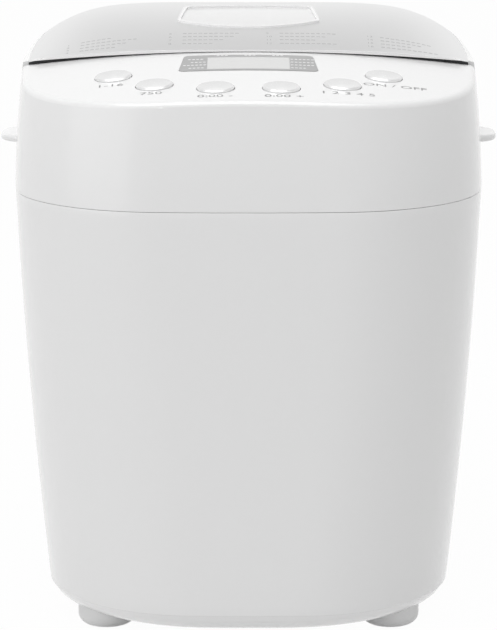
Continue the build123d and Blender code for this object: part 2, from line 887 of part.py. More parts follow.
def hinge_to_collar(collar):
    """Collar with its hinge knuckles, each on a web that runs down into the rear wall."""
    collar_spans, lid_spans = knuckle_spans()
    for low_x, high_x in lid_spans:
        collar -= cylinder_along_x(knuckle_radius + knuckle_clearance,
                                   low_x - knuckle_gap, high_x + knuckle_gap)
    web_height = hinge_height - knuckle_web_height
    web_y = collar_sizes(web_height)[1] - wall / 2
    for low_x, high_x in collar_spans:
        barrel = Pos(hinge_y, hinge_height) * Circle(knuckle_radius)
        toe = Pos(web_y, web_height) * Circle(knuckle_web_radius)
        profile = make_hull(barrel.edges() + toe.edges())
        side_plane = Plane(origin=(low_x, 0, 0), x_dir=(0, 1, 0), z_dir=(1, 0, 0))
        collar += extrude(side_plane * profile, amount=high_x - low_x, dir=(1, 0, 0))
    return collar - cylinder_along_x(pin_radius, -tool_half_width, tool_half_width)


def hinge_pins():
    """Steel pins through the collar's and the lid's knuckles."""
    pins = []
    for side in (-1, 1):
        half_length = lid_knuckle_width / 2 + knuckle_gap + collar_knuckle_width
        middle = side * hinge_x
        pins.append(cylinder_along_x(pin_radius, middle - half_length, middle + half_length))
    return pins


def ear_root(side, grow):
    """Root of a carrying ledge, which passes through a slot in the collar's wall."""
    half_width = collar_sizes(ear_height)[0]
    depth = ear_root_depth + wall + ear_reach / 2
    root = Box(depth, ear_root_length + 2 * grow, ear_thickness + 2 * grow)
    return Pos(side * (half_width - wall - ear_root_depth + depth / 2), 0, ear_height) * root


def carry_handle(side):
    """Rounded ledge on one side, held in the collar's wall by its root."""
    half_width = collar_sizes(ear_height)[0]
    tip = half_width + ear_reach
    sketch = Spline((half_width, -ear_length / 2), (tip, 0), (half_width, ear_length / 2),
                    tangents=((1, ear_side_lean), (-1, ear_side_lean)))
    close = Line((half_width, ear_length / 2), (half_width, -ear_length / 2))
    lobe = extrude(Pos(0, 0, ear_height - ear_thickness / 2) * make_face(sketch.edges() + close.edges()),
                   amount=ear_thickness, dir=(0, 0, 1))
    tip_edges = [edge for edge in lobe.edges() if (edge @ 0.5).X > half_width + ear_reach / 2]
    lobe = fillet(tip_edges, ear_edge_round)
    root_reach = ear_root(1, 0)
    root_reach -= Pos(half_width + tool_reach / 2, 0, ear_height) * Box(tool_reach, tool_reach, wall * 4)
    ledge = lobe - plan_loft(collar_sizes, ear_height - 4 * wall, ear_height + 4 * wall)
    ledge += root_reach
    if side < 0:
        return mirror(ledge, about=Plane.YZ)
    return ledge


def lcd_prism(grow):
    """Upright prism with the trapezium of the display window, grown on all sides."""
    rear = lcd_rear_y + grow
    front = lcd_front_y - grow
    rear_x = lcd_rear_half_width + grow
    front_x = lcd_front_half_width + grow
    edge = Polyline((-front_x, front), (front_x, front), (rear_x, rear), (-rear_x, rear), close=True)
    face = make_face(edge.edges())
    face = fillet(face.vertices(), lcd_corner_radius)
    return extrude(Pos(0, 0, deck_bottom - board_depth) * face, amount=2 * board_depth + tool_half_width,
                   dir=(0, 0, 1))


def lcd_lens():
    """Clear window set flush in the panel, with a flange behind it."""
    lens = lcd_prism(0) & panel_layer(-lens_proud, lens_thickness)
    return lens + (lcd_prism(lens_flange) & panel_layer(wall, wall + lens_flange_thickness))


def lcd_module():
    """Display block between the board and the window."""
    middle_y = (lcd_rear_y + lcd_front_y) / 2
    spot = board_plane()
    local = spot.to_local_coords(Vector(*panel_plane(0, middle_y).origin))
    height = 2 * board_depth
    block = Box(2 * display_half_width, 2 * display_half_depth, height,
                align=(Align.CENTER, Align.CENTER, Align.MIN))
    block = spot.location * Pos(local.X, local.Y, 0) * block
    return block & under_slope(-wall - lens_flange_thickness - module_gap, panel_crown_radius)


def control_board():
    """Circuit board parallel to the panel."""
    spot = board_plane()
    depth = (board_rear_y - board_front_y) / cos(radians(panel_slope))
    plan = RectangleRounded(2 * board_half_width, depth, board_corner_radius)
    board = extrude(spot * plan, amount=-board_thickness)
    for bore in board_pegs(board_screw_radius, -board_thickness, 0):
        board -= bore
    return board


def tact_switches():
    """Small switches on the board, one under each button."""
    switches = []
    for x, y in button_places.values():
        spot = board_plane()
        key = panel_plane(x, y)
        stem_end = key.origin - key.z_dir * (button_stem_length + button_travel + switch_gap)
        local = spot.to_local_coords(Vector(*stem_end))
        upright = (Align.CENTER, Align.CENTER, Align.MIN)
        body = Box(switch_size, switch_size, switch_height, align=upright)
        body += Cylinder(plunger_radius, local.Z, align=upright)
        switches.append(spot.location * Pos(local.X, local.Y, 0) * body)
    return switches


def button(x, y):
    """Dished round key with a bevelled rim, a retaining flange and a stem."""
    flange_top = -wall - button_flange_gap
    flange_bottom_z = flange_top - button_flange_thickness
    shoulder = button_radius - button_bevel
    half_way = button_proud - button_dish * 3 / 4
    dish = ThreePointArc((0, button_proud - button_dish), (shoulder / 2, half_way),
                         (shoulder, button_proud))
    side = Polyline((shoulder, button_proud), (button_radius, button_proud - button_bevel),
                    (button_radius, flange_top), (button_flange_radius, flange_top),
                    (button_flange_radius, flange_bottom_z), (button_stem_radius, flange_bottom_z),
                    (button_stem_radius, -button_stem_length), (0, -button_stem_length),
                    (0, button_proud - button_dish))
    key = revolve(Plane.XZ * make_face(dish.edges() + side.edges()), axis=Axis.Z)
    return panel_plane(x, y).location * key


def lid_zone():
    """Plan and front shape of the lid: a thin lip in front and full walls behind it."""
    lip = behind_panel(-lip_overhang, lid_bottom, loft_top) - under_slope(lip_gap, lip_crown_radius)
    return lip + behind_panel(frame_setback + frame_wall, lid_bottom, loft_top)


def lid_shell():
    """Crowned outer lid with the plate recess, the window opening, screw bosses and knuckles."""
    shell = plan_loft(collar_sizes, lid_bottom, loft_top) & under_dome(0)
    shell &= lid_zone()
    cavity = plan_loft(collar_sizes, lid_bottom - wall, loft_top, lid_wall) & under_dome(lid_wall)
    cavity &= behind_panel(frame_setback + frame_wall - 2 * frame_fit, lid_bottom - wall, loft_top)
    shell -= cavity
    bosses = under_dome(lid_wall / 2)
    for x, y in lid_screw_places():
        shell += cylinder_between(x, y, lid_boss_radius, frame_bottom + frame_floor, loft_top) & bosses
    shell -= top_plate_blank(-wall)
    shell -= window_prism(0)
    for x, y in lid_screw_places():
        shell -= cylinder_between(x, y, lid_screw_radius, frame_bottom, lid_screw_top())
    collar_spans, lid_spans = knuckle_spans()
    for low_x, high_x in collar_spans:
        shell -= cylinder_along_x(knuckle_radius + knuckle_clearance,
                                  low_x - knuckle_gap, high_x + knuckle_gap)
    for low_x, high_x in lid_spans:
        shell += cylinder_along_x(knuckle_radius, low_x, high_x)
    return shell - cylinder_along_x(pin_radius + pin_running_clearance, -tool_half_width, tool_half_width)


def lid_screw_places():
    """Plan places of the screws that close the lid."""
    return [(side * lid_screw_x, y) for y in lid_screw_ys for side in (-1, 1)]


def lid_screw_top():
    """Height of the lid screws' tips."""
    return frame_bottom + frame_floor + dish_rise


def lid_screws():
    """Screws that hold the lid frame to the lid shell."""
    screws = []
    for x, y in lid_screw_places():
        head_bottom = frame_bottom - lid_screw_head_height
        head = cylinder_between(x, y, lid_screw_head_radius, head_bottom, frame_bottom)
        screws.append(head + cylinder_between(x, y, lid_screw_radius, head_bottom, lid_screw_top()))
    return screws


def top_plate_blank(top_drop):
    """Thin layer over the lid, set in from its rim, from top_drop down to the recess floor."""
    blank = plan_loft(collar_sizes, lid_bottom, loft_top, plate_inset)
    blank &= dome_layer(top_drop, plate_recess + plate_thickness)
    return blank & behind_panel(plate_inset - lip_overhang, lid_bottom, loft_top)


def lid_top_plate():
    """Satin metal plate inlaid in the lid's top."""
    return top_plate_blank(plate_recess) - window_prism(0)


def window_prism(inset):
    """Upright prism with the plan of the lid window, drawn in by inset."""
    front = window_front_y + inset
    rear = window_rear_y - inset
    front_x = window_front_half_width - inset
    rear_x = window_rear_half_width - inset
    front_arc = ThreePointArc((-front_x, front), (0, front - window_front_bow), (front_x, front))
    rear_arc = ThreePointArc((rear_x, rear), (0, rear + window_rear_bow), (-rear_x, rear))
    sides = Line((front_x, front), (rear_x, rear)) + Line((-rear_x, rear), (-front_x, front))
    face = make_face(front_arc.edges() + rear_arc.edges() + sides.edges())
    face = fillet(face.vertices(), window_corner_radius - inset / 2)
    return extrude(Pos(0, 0, lid_bottom) * face, amount=loft_top - lid_bottom + wall, dir=(0, 0, 1))


def window_bezel():
    """Raised frame round the lid window."""
    return (window_prism(0) - window_prism(bezel_width)) & dome_layer(-bezel_proud, bezel_depth)


def window_pane():
    """Curved glass pane inside the window frame."""
    return window_prism(bezel_width) & dome_layer(pane_recess, pane_recess + pane_thickness)


def lid_frame():
    """Dark inner tray that closes the lid and stands behind its front lip."""
    inset = lid_wall + frame_fit
    tray = plan_loft(collar_sizes, frame_bottom, frame_bottom + frame_floor, inset)
    tray &= behind_panel(frame_setback, frame_bottom, loft_top)
    tray &= under_dome(inset)
    front_wall = behind_panel(frame_setback, frame_bottom, loft_top)
    front_wall -= behind_panel(frame_setback + frame_wall, frame_bottom, loft_top)
    front_wall &= plan_loft(collar_sizes, frame_bottom, loft_top, inset)
    front_wall &= under_dome(plate_recess + plate_thickness + frame_fit)
    tray += front_wall & under_slope(lip_gap, lip_crown_radius)
    tray -= dish_prism(dish_fit, frame_bottom - wall, frame_bottom + 2 * frame_floor)
    for x, y in lid_screw_places():
        tray -= cylinder_between(x, y, lid_screw_radius, frame_bottom, frame_bottom + frame_floor)
    reach = lid_knuckle_width / 2 + 2 * knuckle_gap + collar_knuckle_width
    for side in (-1, 1):
        middle = side * hinge_x
        tray -= cylinder_along_x(knuckle_radius + knuckle_clearance, middle - reach, middle + reach)
    return tray


def dish_prism(grow, low, high):
    """Upright prism with the plan of the liner's raised dish."""
    return rounded_prism(oven_y, dish_half_width + grow, dish_half_depth + grow, dish_radius, low, high)


def inner_pane_prism(inset, low, high):
    """Upright prism with the plan of the inner pane."""
    return rounded_prism(inner_pane_y, inner_pane_half_width - inset, inner_pane_half_depth - inset,
                         inner_pane_radius, low, high)


def lid_liner():
    """Pressed metal sheet under the lid, dished upwards, with a window opening."""
    dish_top = frame_bottom + dish_rise
    sheet = throat_prism(liner_margin, liner_bottom, frame_bottom)
    sheet += dish_prism(0, frame_bottom - liner_thickness, dish_top)
    sheet -= dish_prism(-liner_thickness, liner_bottom - wall, dish_top - liner_thickness)
    return sheet - inner_pane_prism(inner_pane_lap, liner_bottom, dish_top + wall)


def inner_pane():
    """Flat inner glass that lies over the liner's opening."""
    dish_top = frame_bottom + dish_rise
    return inner_pane_prism(0, dish_top, dish_top + inner_pane_thickness)


def lid_seal():
    """Silicone ring under the liner that meets the deck round the throat."""
    bottom = deck_top + seal_clearance
    ring = throat_prism(seal_offset + seal_width, bottom, liner_bottom)
    return ring - throat_prism(seal_offset, bottom, liner_bottom)


def oven_chamber():
    """Sheet metal oven with a flange under the deck and holes for the shaft and the heater."""
    box = throat_prism(chamber_margin + chamber_sheet, chamber_floor, deck_bottom)
    box += throat_prism(chamber_flange, deck_bottom - chamber_sheet, deck_bottom)
    box -= throat_prism(chamber_margin, chamber_floor + chamber_sheet, deck_bottom)
    box -= cylinder_between(0, oven_y, bearing_radius + chamber_shaft_hole_clearance,
                            chamber_floor, chamber_floor + chamber_sheet)
    for side in (-1, 1):
        box -= heater_bar(side, heater_bush_radius, -heater_bush_outer_length, heater_bush_inner_length)
    return box - sensor_bar()


def chamber_front_y():
    """Outer face of the chamber's front wall."""
    return oven_y - throat_half_depth - chamber_margin - chamber_sheet


def heater_bar(side, radius, start, end):
    """Cylinder along Y on one heater terminal, measured from the chamber's front wall."""
    bar = Cylinder(radius, end - start)
    place = Pos(side * heater_terminal_x, chamber_front_y() + (start + end) / 2, heater_height)
    return place * Rot(90, 0, 0) * bar


def sensor_bar():
    """Cylinder along Y where the temperature sensor passes the chamber's front wall."""
    place = Pos(sensor_x, chamber_front_y(), sensor_height)
    return place * Rot(90, 0, 0) * Cylinder(sensor_radius, sensor_length)


def temperature_sensor():
    """Capsule with a collar, pushed through the chamber's front wall."""
    capsule = sensor_bar()
    place = Pos(sensor_x, chamber_front_y() - chamber_sheet, sensor_height)
    return capsule + place * Rot(90, 0, 0) * Cylinder(2 * sensor_radius, 2 * chamber_sheet)


def heating_element():
    """Bent tubular heater round the pan's base, with two terminals through the front wall."""
    front = oven_y - heater_half_depth
    rear = oven_y + heater_half_depth
    start = chamber_front_y() - heater_terminal_length
    corners = [(-heater_terminal_x, start), (-heater_terminal_x, front), (-heater_half_width, front),
               (-heater_half_width, rear), (heater_half_width, rear), (heater_half_width, front),
               (heater_terminal_x, front), (heater_terminal_x, start)]
    bend = heater_bend_radius
    path = FilletPolyline(*[(x, y, heater_height) for x, y in corners], radius=bend)
    section = Plane(origin=path @ 0, z_dir=path % 0) * Circle(heater_radius)
    return sweep(section, path=path)


def heater_bushes():
    """Ceramic bushes round the heater's terminals."""
    bushes = []
    for side in (-1, 1):
        bush = heater_bar(side, heater_bush_radius, -heater_bush_outer_length, heater_bush_inner_length)
        bushes.append(bush - heater_bar(side, heater_radius, -2 * heater_bush_outer_length,
                                        2 * heater_bush_inner_length))
    return bushes


def heater_clips():
    """Sheet clips that carry the heater above the chamber's floor."""
    clips = []
    places = [(-heater_half_width, oven_y, 0), (heater_half_width, oven_y, 0),
              (0, oven_y + heater_half_depth, 90)]
    for x, y, turn in places:
        outer = heater_radius + heater_clip_wall
        post_height = heater_height - chamber_floor - chamber_sheet
        post = Box(2 * heater_clip_wall, heater_clip_width, post_height - heater_radius,
                   align=(Align.CENTER, Align.CENTER, Align.MIN))
        ring = Cylinder(outer, heater_clip_width) - Cylinder(heater_radius, heater_clip_width)
        clip = post + Pos(0, 0, post_height) * Rot(90, 0, 0) * ring
        clips.append(Pos(x, y, chamber_floor + chamber_sheet) * Rot(0, 0, turn) * clip)
    return clips


def oven_post_places():
    """Plan places of the stand-offs under the oven chamber."""
    return [(side * oven_post_x, oven_y + end * oven_post_offset) for end in (-1, 1) for side in (-1, 1)]


def oven_posts():
    """Stand-offs between the chassis plate and the oven chamber."""
    posts = []
    for x, y in oven_post_places():
        posts.append(cylinder_between(x, y, oven_post_radius, chassis_top, chamber_floor))
    return posts


def chassis_plate():
    """Steel plate that carries the motor, the bearing and the oven."""
    middle = (chassis_front_y + chassis_rear_y) / 2
    plate = rounded_prism(middle, chassis_half_width, (chassis_rear_y - chassis_front_y) / 2,
                          chassis_corner_radius, chassis_bottom, chassis_top)
    plate -= cylinder_between(0, oven_y, bearing_radius, chassis_bottom, chassis_top)
    plate -= cylinder_between(0, motor_y, 2 * motor_shaft_radius, chassis_bottom, chassis_top)
    for x, y in chassis_places():
        plate -= cylinder_between(x, y, chassis_screw_radius, chassis_bottom, chassis_top)
    return plate


def chassis_screws():
    """Screws that hold the chassis plate to its posts."""
    screws = []
    for x, y in chassis_places():
        head = cylinder_between(x, y, chassis_screw_head_radius, chassis_top,
                                chassis_top + chassis_screw_head_height)
        screws.append(head + cylinder_between(x, y, chassis_screw_radius,
                                              chassis_bottom - chassis_screw_length, chassis_top))
    return screws


def shaft_bearing():
    """Flanged plain bearing in the chassis plate."""
    bearing = cylinder_between(0, oven_y, bearing_radius, chassis_bottom, bearing_top)
    bearing += cylinder_between(0, oven_y, bearing_flange_radius, chassis_top,
                                chassis_top + bearing_flange_thickness)
    return bearing - cylinder_between(0, oven_y, shaft_radius + shaft_running_clearance,
                                      chassis_bottom, bearing_top)


def drive_shaft():
    """Shaft from the driven pulley up to the drive dog."""
    return cylinder_between(0, oven_y, shaft_radius, pulley_bottom, dog_top)


def drive_dog():
    """Hub with two pegs that turn the pan's coupling."""
    dog = tube_between(0, oven_y, dog_radius, shaft_radius, dog_bottom, dog_top)
    for side in (-1, 1):
        dog += cylinder_between(side * dog_peg_offset, oven_y, dog_peg_radius,
                                dog_top - dog_height / 2, peg_top)
    return dog


def pulley(y, radius, bore):
    """Flanged pulley for the flat belt."""
    body = cylinder_between(0, y, radius, pulley_bottom, pulley_top)
    for low in (pulley_bottom, pulley_top - pulley_flange_thickness):
        body += cylinder_between(0, y, radius + pulley_flange_height, low, low + pulley_flange_thickness)
    return body - cylinder_between(0, y, bore, pulley_bottom, pulley_top)


def driven_pulley():
    """Large pulley on the drive shaft, lightened by round holes in its web."""
    body = pulley(oven_y, driven_pulley_radius, shaft_radius)
    rim_inner = driven_pulley_radius - pulley_rim_thickness
    middle = (pulley_bottom + pulley_top) / 2
    for low, high in ((pulley_bottom, middle - pulley_web_thickness / 2),
                      (middle + pulley_web_thickness / 2, pulley_top)):
        body -= tube_between(0, oven_y, rim_inner, pulley_hub_radius, low, high)
    hole_circle = (rim_inner + pulley_hub_radius) / 2
    for step in range(pulley_hole_count):
        turn = 2 * pi * step / pulley_hole_count
        body -= cylinder_between(hole_circle * cos(turn), oven_y + hole_circle * sin(turn),
                                 pulley_hole_radius, pulley_bottom, pulley_top)
    return body


def belt_loop(offset, low, high):
    """Prism inside the belt line round both pulleys, grown by offset."""
    large = Pos(0, oven_y) * Circle(driven_pulley_radius + offset)
    small = Pos(0, motor_y) * Circle(motor_pulley_radius + offset)
    loop = make_hull(large.edges() + small.edges())
    return extrude(Pos(0, 0, low) * loop, amount=high - low, dir=(0, 0, 1))


def drive_belt():
    """Flat belt between the motor pulley and the driven pulley."""
    low = pulley_bottom + pulley_flange_thickness + belt_side_gap
    high = low + belt_width
    return belt_loop(belt_clearance + belt_thickness, low, high) - belt_loop(belt_clearance, low, high)


def motor_body():
    """Upright motor can on the chassis plate, with a through bore for its shaft."""
    can = cylinder_between(0, motor_y, motor_radius, chassis_top, motor_top)
    can = fillet(can.edges().group_by(Axis.Z)[-1], motor_edge_round)
    return can - cylinder_between(0, motor_y, motor_shaft_radius + shaft_running_clearance,
                                  chassis_top, motor_top)


def motor_shaft():
    """Motor shaft from the small pulley up to the fan."""
    return cylinder_between(0, motor_y, motor_shaft_radius, pulley_bottom,
                            motor_top + motor_fan_gap + motor_fan_height)


def motor_pulley():
    """Small pulley on the motor shaft."""
    return pulley(motor_y, motor_pulley_radius, motor_shaft_radius)


def motor_fan():
    """Cooling fan on top of the motor."""
    low = motor_top + motor_fan_gap
    high = low + motor_fan_height
    fan = cylinder_between(0, motor_y, motor_fan_radius, low, low + motor_fan_blade_thickness)
    fan += cylinder_between(0, motor_y, motor_fan_hub_radius, low, high)
    blade_start = motor_fan_hub_radius - motor_fan_blade_thickness
    blade_length = motor_fan_radius - 2 * motor_fan_blade_thickness - blade_start
    blade_height = motor_fan_height - motor_fan_blade_thickness
    blade = Pos(blade_start, 0, motor_fan_blade_thickness / 2) * Box(
        blade_length, motor_fan_blade_thickness, blade_height, align=(Align.MIN, Align.CENTER, Align.MIN))
    for step in range(motor_fan_blades):
        fan += Pos(0, motor_y, low) * Rot(0, 0, 360 * step / motor_fan_blades) * blade
    return fan - cylinder_between(0, motor_y, motor_shaft_radius, low, high)


def power_board():
    """Upright power board beside the motor, with a relay and a capacitor."""
    upright = (Align.CENTER, Align.CENTER, Align.MIN)
    board = Box(board_thickness, 2 * power_board_half_length, power_board_height, align=upright)
    relay_place = Pos(relay_size[0] / 2, -relay_size[1] / 2, power_board_height / 4)
    relay = relay_place * Box(*relay_size, align=upright)
    can = Pos(capacitor_length / 2, relay_size[1] / 2, power_board_height / 2)
    capacitor = can * Rot(0, 90, 0) * Cylinder(capacitor_radius, capacitor_length)
    return Pos(power_board_x, motor_y, chassis_top) * (board + relay + capacitor)


def pan_prism(inset, low, high):
    """Tapered pan volume between two heights, drawn in by inset."""
    sections = []
    for height in (low, high):
        share = (height - pan_bottom) / pan_height
        half_width = swell(pan_bottom_half_width, pan_top_half_width, share, 0) - inset
        half_depth = swell(pan_bottom_half_depth, pan_top_half_depth, share, 0) - inset
        plan = RectangleRounded(2 * half_width, 2 * half_depth, pan_corner_radius - inset)
        sections.append(Pos(0, oven_y, height) * plan)
    return loft(sections)


def bread_pan():
    """Tapered baking pan with a rolled bead, a shaft boss and rivet holes."""
    pan = pan_prism(0, pan_bottom, pan_top)
    pan += pan_prism(-pan_bead, pan_top - pan_bead_height, pan_top)
    pan -= pan_prism(pan_wall, pan_floor_top, pan_top + pan_wall)
    pan += cylinder_between(0, oven_y, pan_shaft_boss_radius, pan_bottom, seal_top)
    pan -= cylinder_between(0, oven_y, pan_seal_radius, seal_top - pan_seal_height, seal_top)
    pan -= cylinder_between(0, oven_y, shaft_radius + shaft_running_clearance, pan_bottom, seal_top)
    for side in (-1, 1):
        pan -= pivot_bar(side, pivot_radius, -2 * pan_wall, pan_wall)
    return pan


def pan_base_flange():
    """Collar under the pan with bayonet lugs."""
    collar = tube_between(0, oven_y, flange_outer_radius, flange_inner_radius, flange_bottom, pan_bottom)
    lug_top = flange_bottom + lug_height
    return collar + lug_ring(flange_outer_radius + lug_reach, 0, flange_bottom, lug_top, 0)


def lug_ring(outer, turn, low, high, spare):
    """Ring sectors at the bayonet lugs, turned and widened by the given angles."""
    ring = tube_between(0, oven_y, outer, flange_inner_radius, low, high)
    half_angle = lug_half_angle + spare
    reach = 2 * outer
    sectors = []
    for step in range(lug_count):
        middle = 360 * step / lug_count + turn
        corners = [(0, 0)]
        for angle in (middle - half_angle, middle + half_angle):
            corners.append((reach * cos(radians(angle)), reach * sin(radians(angle))))
        wedge = make_face(Polyline(*corners, close=True).edges())
        sectors.append(extrude(Pos(0, oven_y, low) * wedge, amount=high - low, dir=(0, 0, 1)) & ring)
    return sectors


def pan_socket():
    """Bayonet socket on the oven floor that locks the pan's base."""
    floor = chamber_floor + chamber_sheet
    groove_radius = flange_outer_radius + lug_reach + socket_clearance
    socket = cylinder_between(0, oven_y, groove_radius + socket_wall, floor, socket_top)
    socket -= cylinder_between(0, oven_y, flange_outer_radius + socket_clearance, floor, socket_top)
    groove_top = flange_bottom + lug_height + socket_clearance
    socket -= cylinder_between(0, oven_y, groove_radius, flange_bottom - socket_clearance, groove_top)
    for sector in lug_ring(groove_radius, socket_slot_turn, groove_top, socket_top, socket_slot_spare):
        socket -= sector
    return socket


def pan_seal():
    """Rubber shaft seal in the pan's boss."""
    return tube_between(0, oven_y, pan_seal_radius, shaft_radius + shaft_running_clearance,
                        seal_top - pan_seal_height, seal_top)


def pan_shaft():
    """Kneading shaft through the pan's floor."""
    return cylinder_between(0, oven_y, shaft_radius, coupling_bottom,
                            paddle_bottom + paddle_hub_height - paddle_cover)


def pan_coupling():
    """Two wings under the pan that the drive dog's pegs push."""
    high = coupling_bottom + coupling_height
    hub = cylinder_between(0, oven_y, shaft_radius + coupling_hub_wall, coupling_bottom, high)
    wings = Box(coupling_wing_width, 2 * coupling_wing_length, coupling_height,
                align=(Align.CENTER, Align.CENTER, Align.MIN))
    coupling = hub + Pos(0, oven_y, coupling_bottom) * wings
    return coupling - cylinder_between(0, oven_y, shaft_radius, coupling_bottom, high)


def kneading_paddle():
    """Paddle with a tapered hub and one sweeping blade."""
    high = paddle_bottom + paddle_hub_height
    upright = (Align.CENTER, Align.CENTER, Align.MIN)
    hub = Cone(paddle_hub_radius, paddle_hub_radius - paddle_cover, paddle_hub_height, align=upright)
    shoulder = (paddle_reach * paddle_shoulder_share, high - paddle_cover)
    top = Spline((0, high), shoulder, (paddle_reach, paddle_bottom + paddle_tip_height),
                 tangents=((1, 0), (paddle_tip_lean, -1)))
    side = Polyline((paddle_reach, paddle_bottom + paddle_tip_height), (paddle_reach, paddle_bottom),
                    (0, paddle_bottom), (0, high))
    profile = Plane.XZ * make_face(top.edges() + side.edges())
    blade = extrude(profile, amount=paddle_blade_thickness / 2, both=True)
    paddle = Pos(0, oven_y, paddle_bottom) * hub + Pos(0, oven_y, 0) * blade
    return paddle - cylinder_between(0, oven_y, shaft_radius, paddle_bottom, high - paddle_cover)


def pivot_wall_x():
    """Half width of the pan's outside at the height of the handle pivots."""
    share = (pivot_height - pan_bottom) / pan_height
    return swell(pan_bottom_half_width, pan_top_half_width, share, 0)


def eye_start():
    """Distance from the pan's wall to the handle's eye, clear of the pan's bead."""
    return pan_top_half_width + pan_bead + pivot_side_gap - pivot_wall_x()


def pivot_bar(side, radius, start, end):
    """Cylinder along X on a handle pivot, measured outwards from the pan's wall."""
    place = Pos(side * (pivot_wall_x() + (start + end) / 2), oven_y, pivot_height)
    return place * Rot(0, 90, 0) * Cylinder(radius, end - start)


def handle_pivots():
    """Rivets on both sides of the pan that carry the handle."""
    rivets = []
    for side in (-1, 1):
        eye_end = eye_start() + bail_eye_width + pivot_side_gap
        rivet = pivot_bar(side, pivot_radius, -pan_wall, eye_end)
        rivet += pivot_bar(side, pivot_head_radius, eye_end, eye_end + pivot_head_thickness)
        shoulder = pivot_bar(side, pivot_head_radius, -pan_wall, eye_start() - pivot_side_gap)
        rivets.append(rivet + (shoulder - pan_prism(0, pan_bottom, pan_top)))
    return rivets


def pan_handle():
    """Bent wire bail with an eye at each end, folded down over the pan."""
    lean = radians(bail_rest_angle)
    bar_x = pivot_wall_x() + eye_start() + bail_eye_width / 2
    bail_plane = Plane(origin=(0, oven_y, pivot_height), x_dir=(1, 0, 0), z_dir=(0, -sin(lean), -cos(lean)))
    eye_reach = (bail_eye_radius + pivot_radius) / 2
    path = bail_plane * FilletPolyline((-bar_x, eye_reach), (-bar_x, bail_length), (bar_x, bail_length),
                                       (bar_x, eye_reach), radius=bail_bend_radius)
    section = Plane(origin=path @ 0, z_dir=path % 0) * Circle(bail_wire_radius)
    bail = sweep(section, path=path)
    for side in (-1, 1):
        bail += pivot_bar(side, bail_eye_radius, eye_start(), eye_start() + bail_eye_width)
    for side in (-1, 1):
        bail -= pivot_bar(side, pivot_radius + pin_running_clearance, 0, eye_start() + 2 * bail_eye_width)
    return bail


foot_names = ("foot_front_left", "foot_front_right", "foot_rear_left", "foot_rear_right")
pieces = {
    "lower_casing": lower_casing,
    "base_plate": base_plate,
    "foot_pads": foot_pads,
    "foot_screws": foot_screws,
    "upper_collar": upper_collar,
    "hinge_pins": hinge_pins,
    "lcd_lens": lcd_lens,
    "lcd_module": lcd_module,
    "control_board": control_board,
    "board_screws": board_screws,
    "tact_switches": tact_switches,
    "cord_gland": cord_gland,
    "lid_shell": lid_shell,
    "lid_top_plate": lid_top_plate,
    "window_bezel": window_bezel,
    "window_pane": window_pane,
    "lid_frame": lid_frame,
    "lid_liner": lid_liner,
    "inner_pane": inner_pane,
    "lid_seal": lid_seal,
    "lid_screws": lid_screws,
    "oven_chamber": oven_chamber,
    "oven_posts": oven_posts,
    "heating_element": heating_element,
    "heater_bushes": heater_bushes,
    "heater_clips": heater_clips,
    "temperature_sensor": temperature_sensor,
    "pan_socket": pan_socket,
    "chassis_plate": chassis_plate,
    "chassis_screws": chassis_screws,
    "shaft_bearing": shaft_bearing,
    "drive_shaft": drive_shaft,
    "drive_dog": drive_dog,
    "driven_pulley": driven_pulley,
    "drive_belt": drive_belt,
    "motor_body": motor_body,
    "motor_shaft": motor_shaft,
    "motor_pulley": motor_pulley,
    "motor_fan": motor_fan,
    "power_board": power_board,
    "bread_pan": bread_pan,
    "pan_base_flange": pan_base_flange,
    "pan_seal": pan_seal,
    "pan_shaft": pan_shaft,
    "pan_coupling": pan_coupling,
    "kneading_paddle": kneading_paddle,
    "handle_pivots": handle_pivots,
    "pan_handle": pan_handle,
}

os.makedirs("parts", exist_ok=True)


def write_piece(name, shape):
    """Write one piece, or a group of like pieces, to its own file."""
    if isinstance(shape, list):
        shape = Compound(children=shape)
    export_step(shape, f"parts/{name}.step")


for piece_name, make_piece in pieces.items():
    write_piece(piece_name, make_piece())
for foot_name, (place_x, place_y) in zip(foot_names, foot_places()):
    write_piece(foot_name, foot(place_x, place_y))
for key_name, (place_x, place_y) in button_places.items():
    write_piece(key_name, button(place_x, place_y))
for handle_name, handle_side in (("carry_handle_left", -1), ("carry_handle_right", 1)):
    write_piece(handle_name, carry_handle(handle_side))
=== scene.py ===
"""Looks of a compact bread machine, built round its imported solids.

The solids are loaded as a fixed frame in metres: +X is the user's right, -Y faces the user, +Z is up.
Each sub-assembly is a class that dresses its solids and adds the pieces that only matter to the eye:
printed marks, the display's film, smooth skins.
"""

from __future__ import annotations

import logging
import math
from dataclasses import dataclass, field
from enum import Enum
from typing import Callable, Dict, List, Sequence, Tuple

import bpy
import numpy as np
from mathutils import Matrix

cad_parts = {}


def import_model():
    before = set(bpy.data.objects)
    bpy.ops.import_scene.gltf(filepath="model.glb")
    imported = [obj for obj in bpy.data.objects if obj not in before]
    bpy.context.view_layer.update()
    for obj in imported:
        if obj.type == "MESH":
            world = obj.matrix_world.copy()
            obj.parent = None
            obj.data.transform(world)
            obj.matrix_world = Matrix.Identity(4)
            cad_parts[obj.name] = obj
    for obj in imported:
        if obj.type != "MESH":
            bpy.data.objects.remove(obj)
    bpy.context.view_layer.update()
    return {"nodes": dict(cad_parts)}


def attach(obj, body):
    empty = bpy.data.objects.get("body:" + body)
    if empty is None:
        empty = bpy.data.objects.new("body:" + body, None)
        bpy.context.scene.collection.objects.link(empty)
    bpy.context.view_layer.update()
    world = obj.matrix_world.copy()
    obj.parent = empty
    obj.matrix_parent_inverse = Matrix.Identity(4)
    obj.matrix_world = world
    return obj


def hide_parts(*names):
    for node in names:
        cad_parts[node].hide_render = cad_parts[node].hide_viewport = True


LOG = logging.getLogger("bread_machine")
Colour = Tuple[float, float, float]
Place = Tuple[float, float, float]
Spot = Tuple[float, float]
Shape = Tuple[np.ndarray, List[List[int]]]
Outlines = np.ndarray
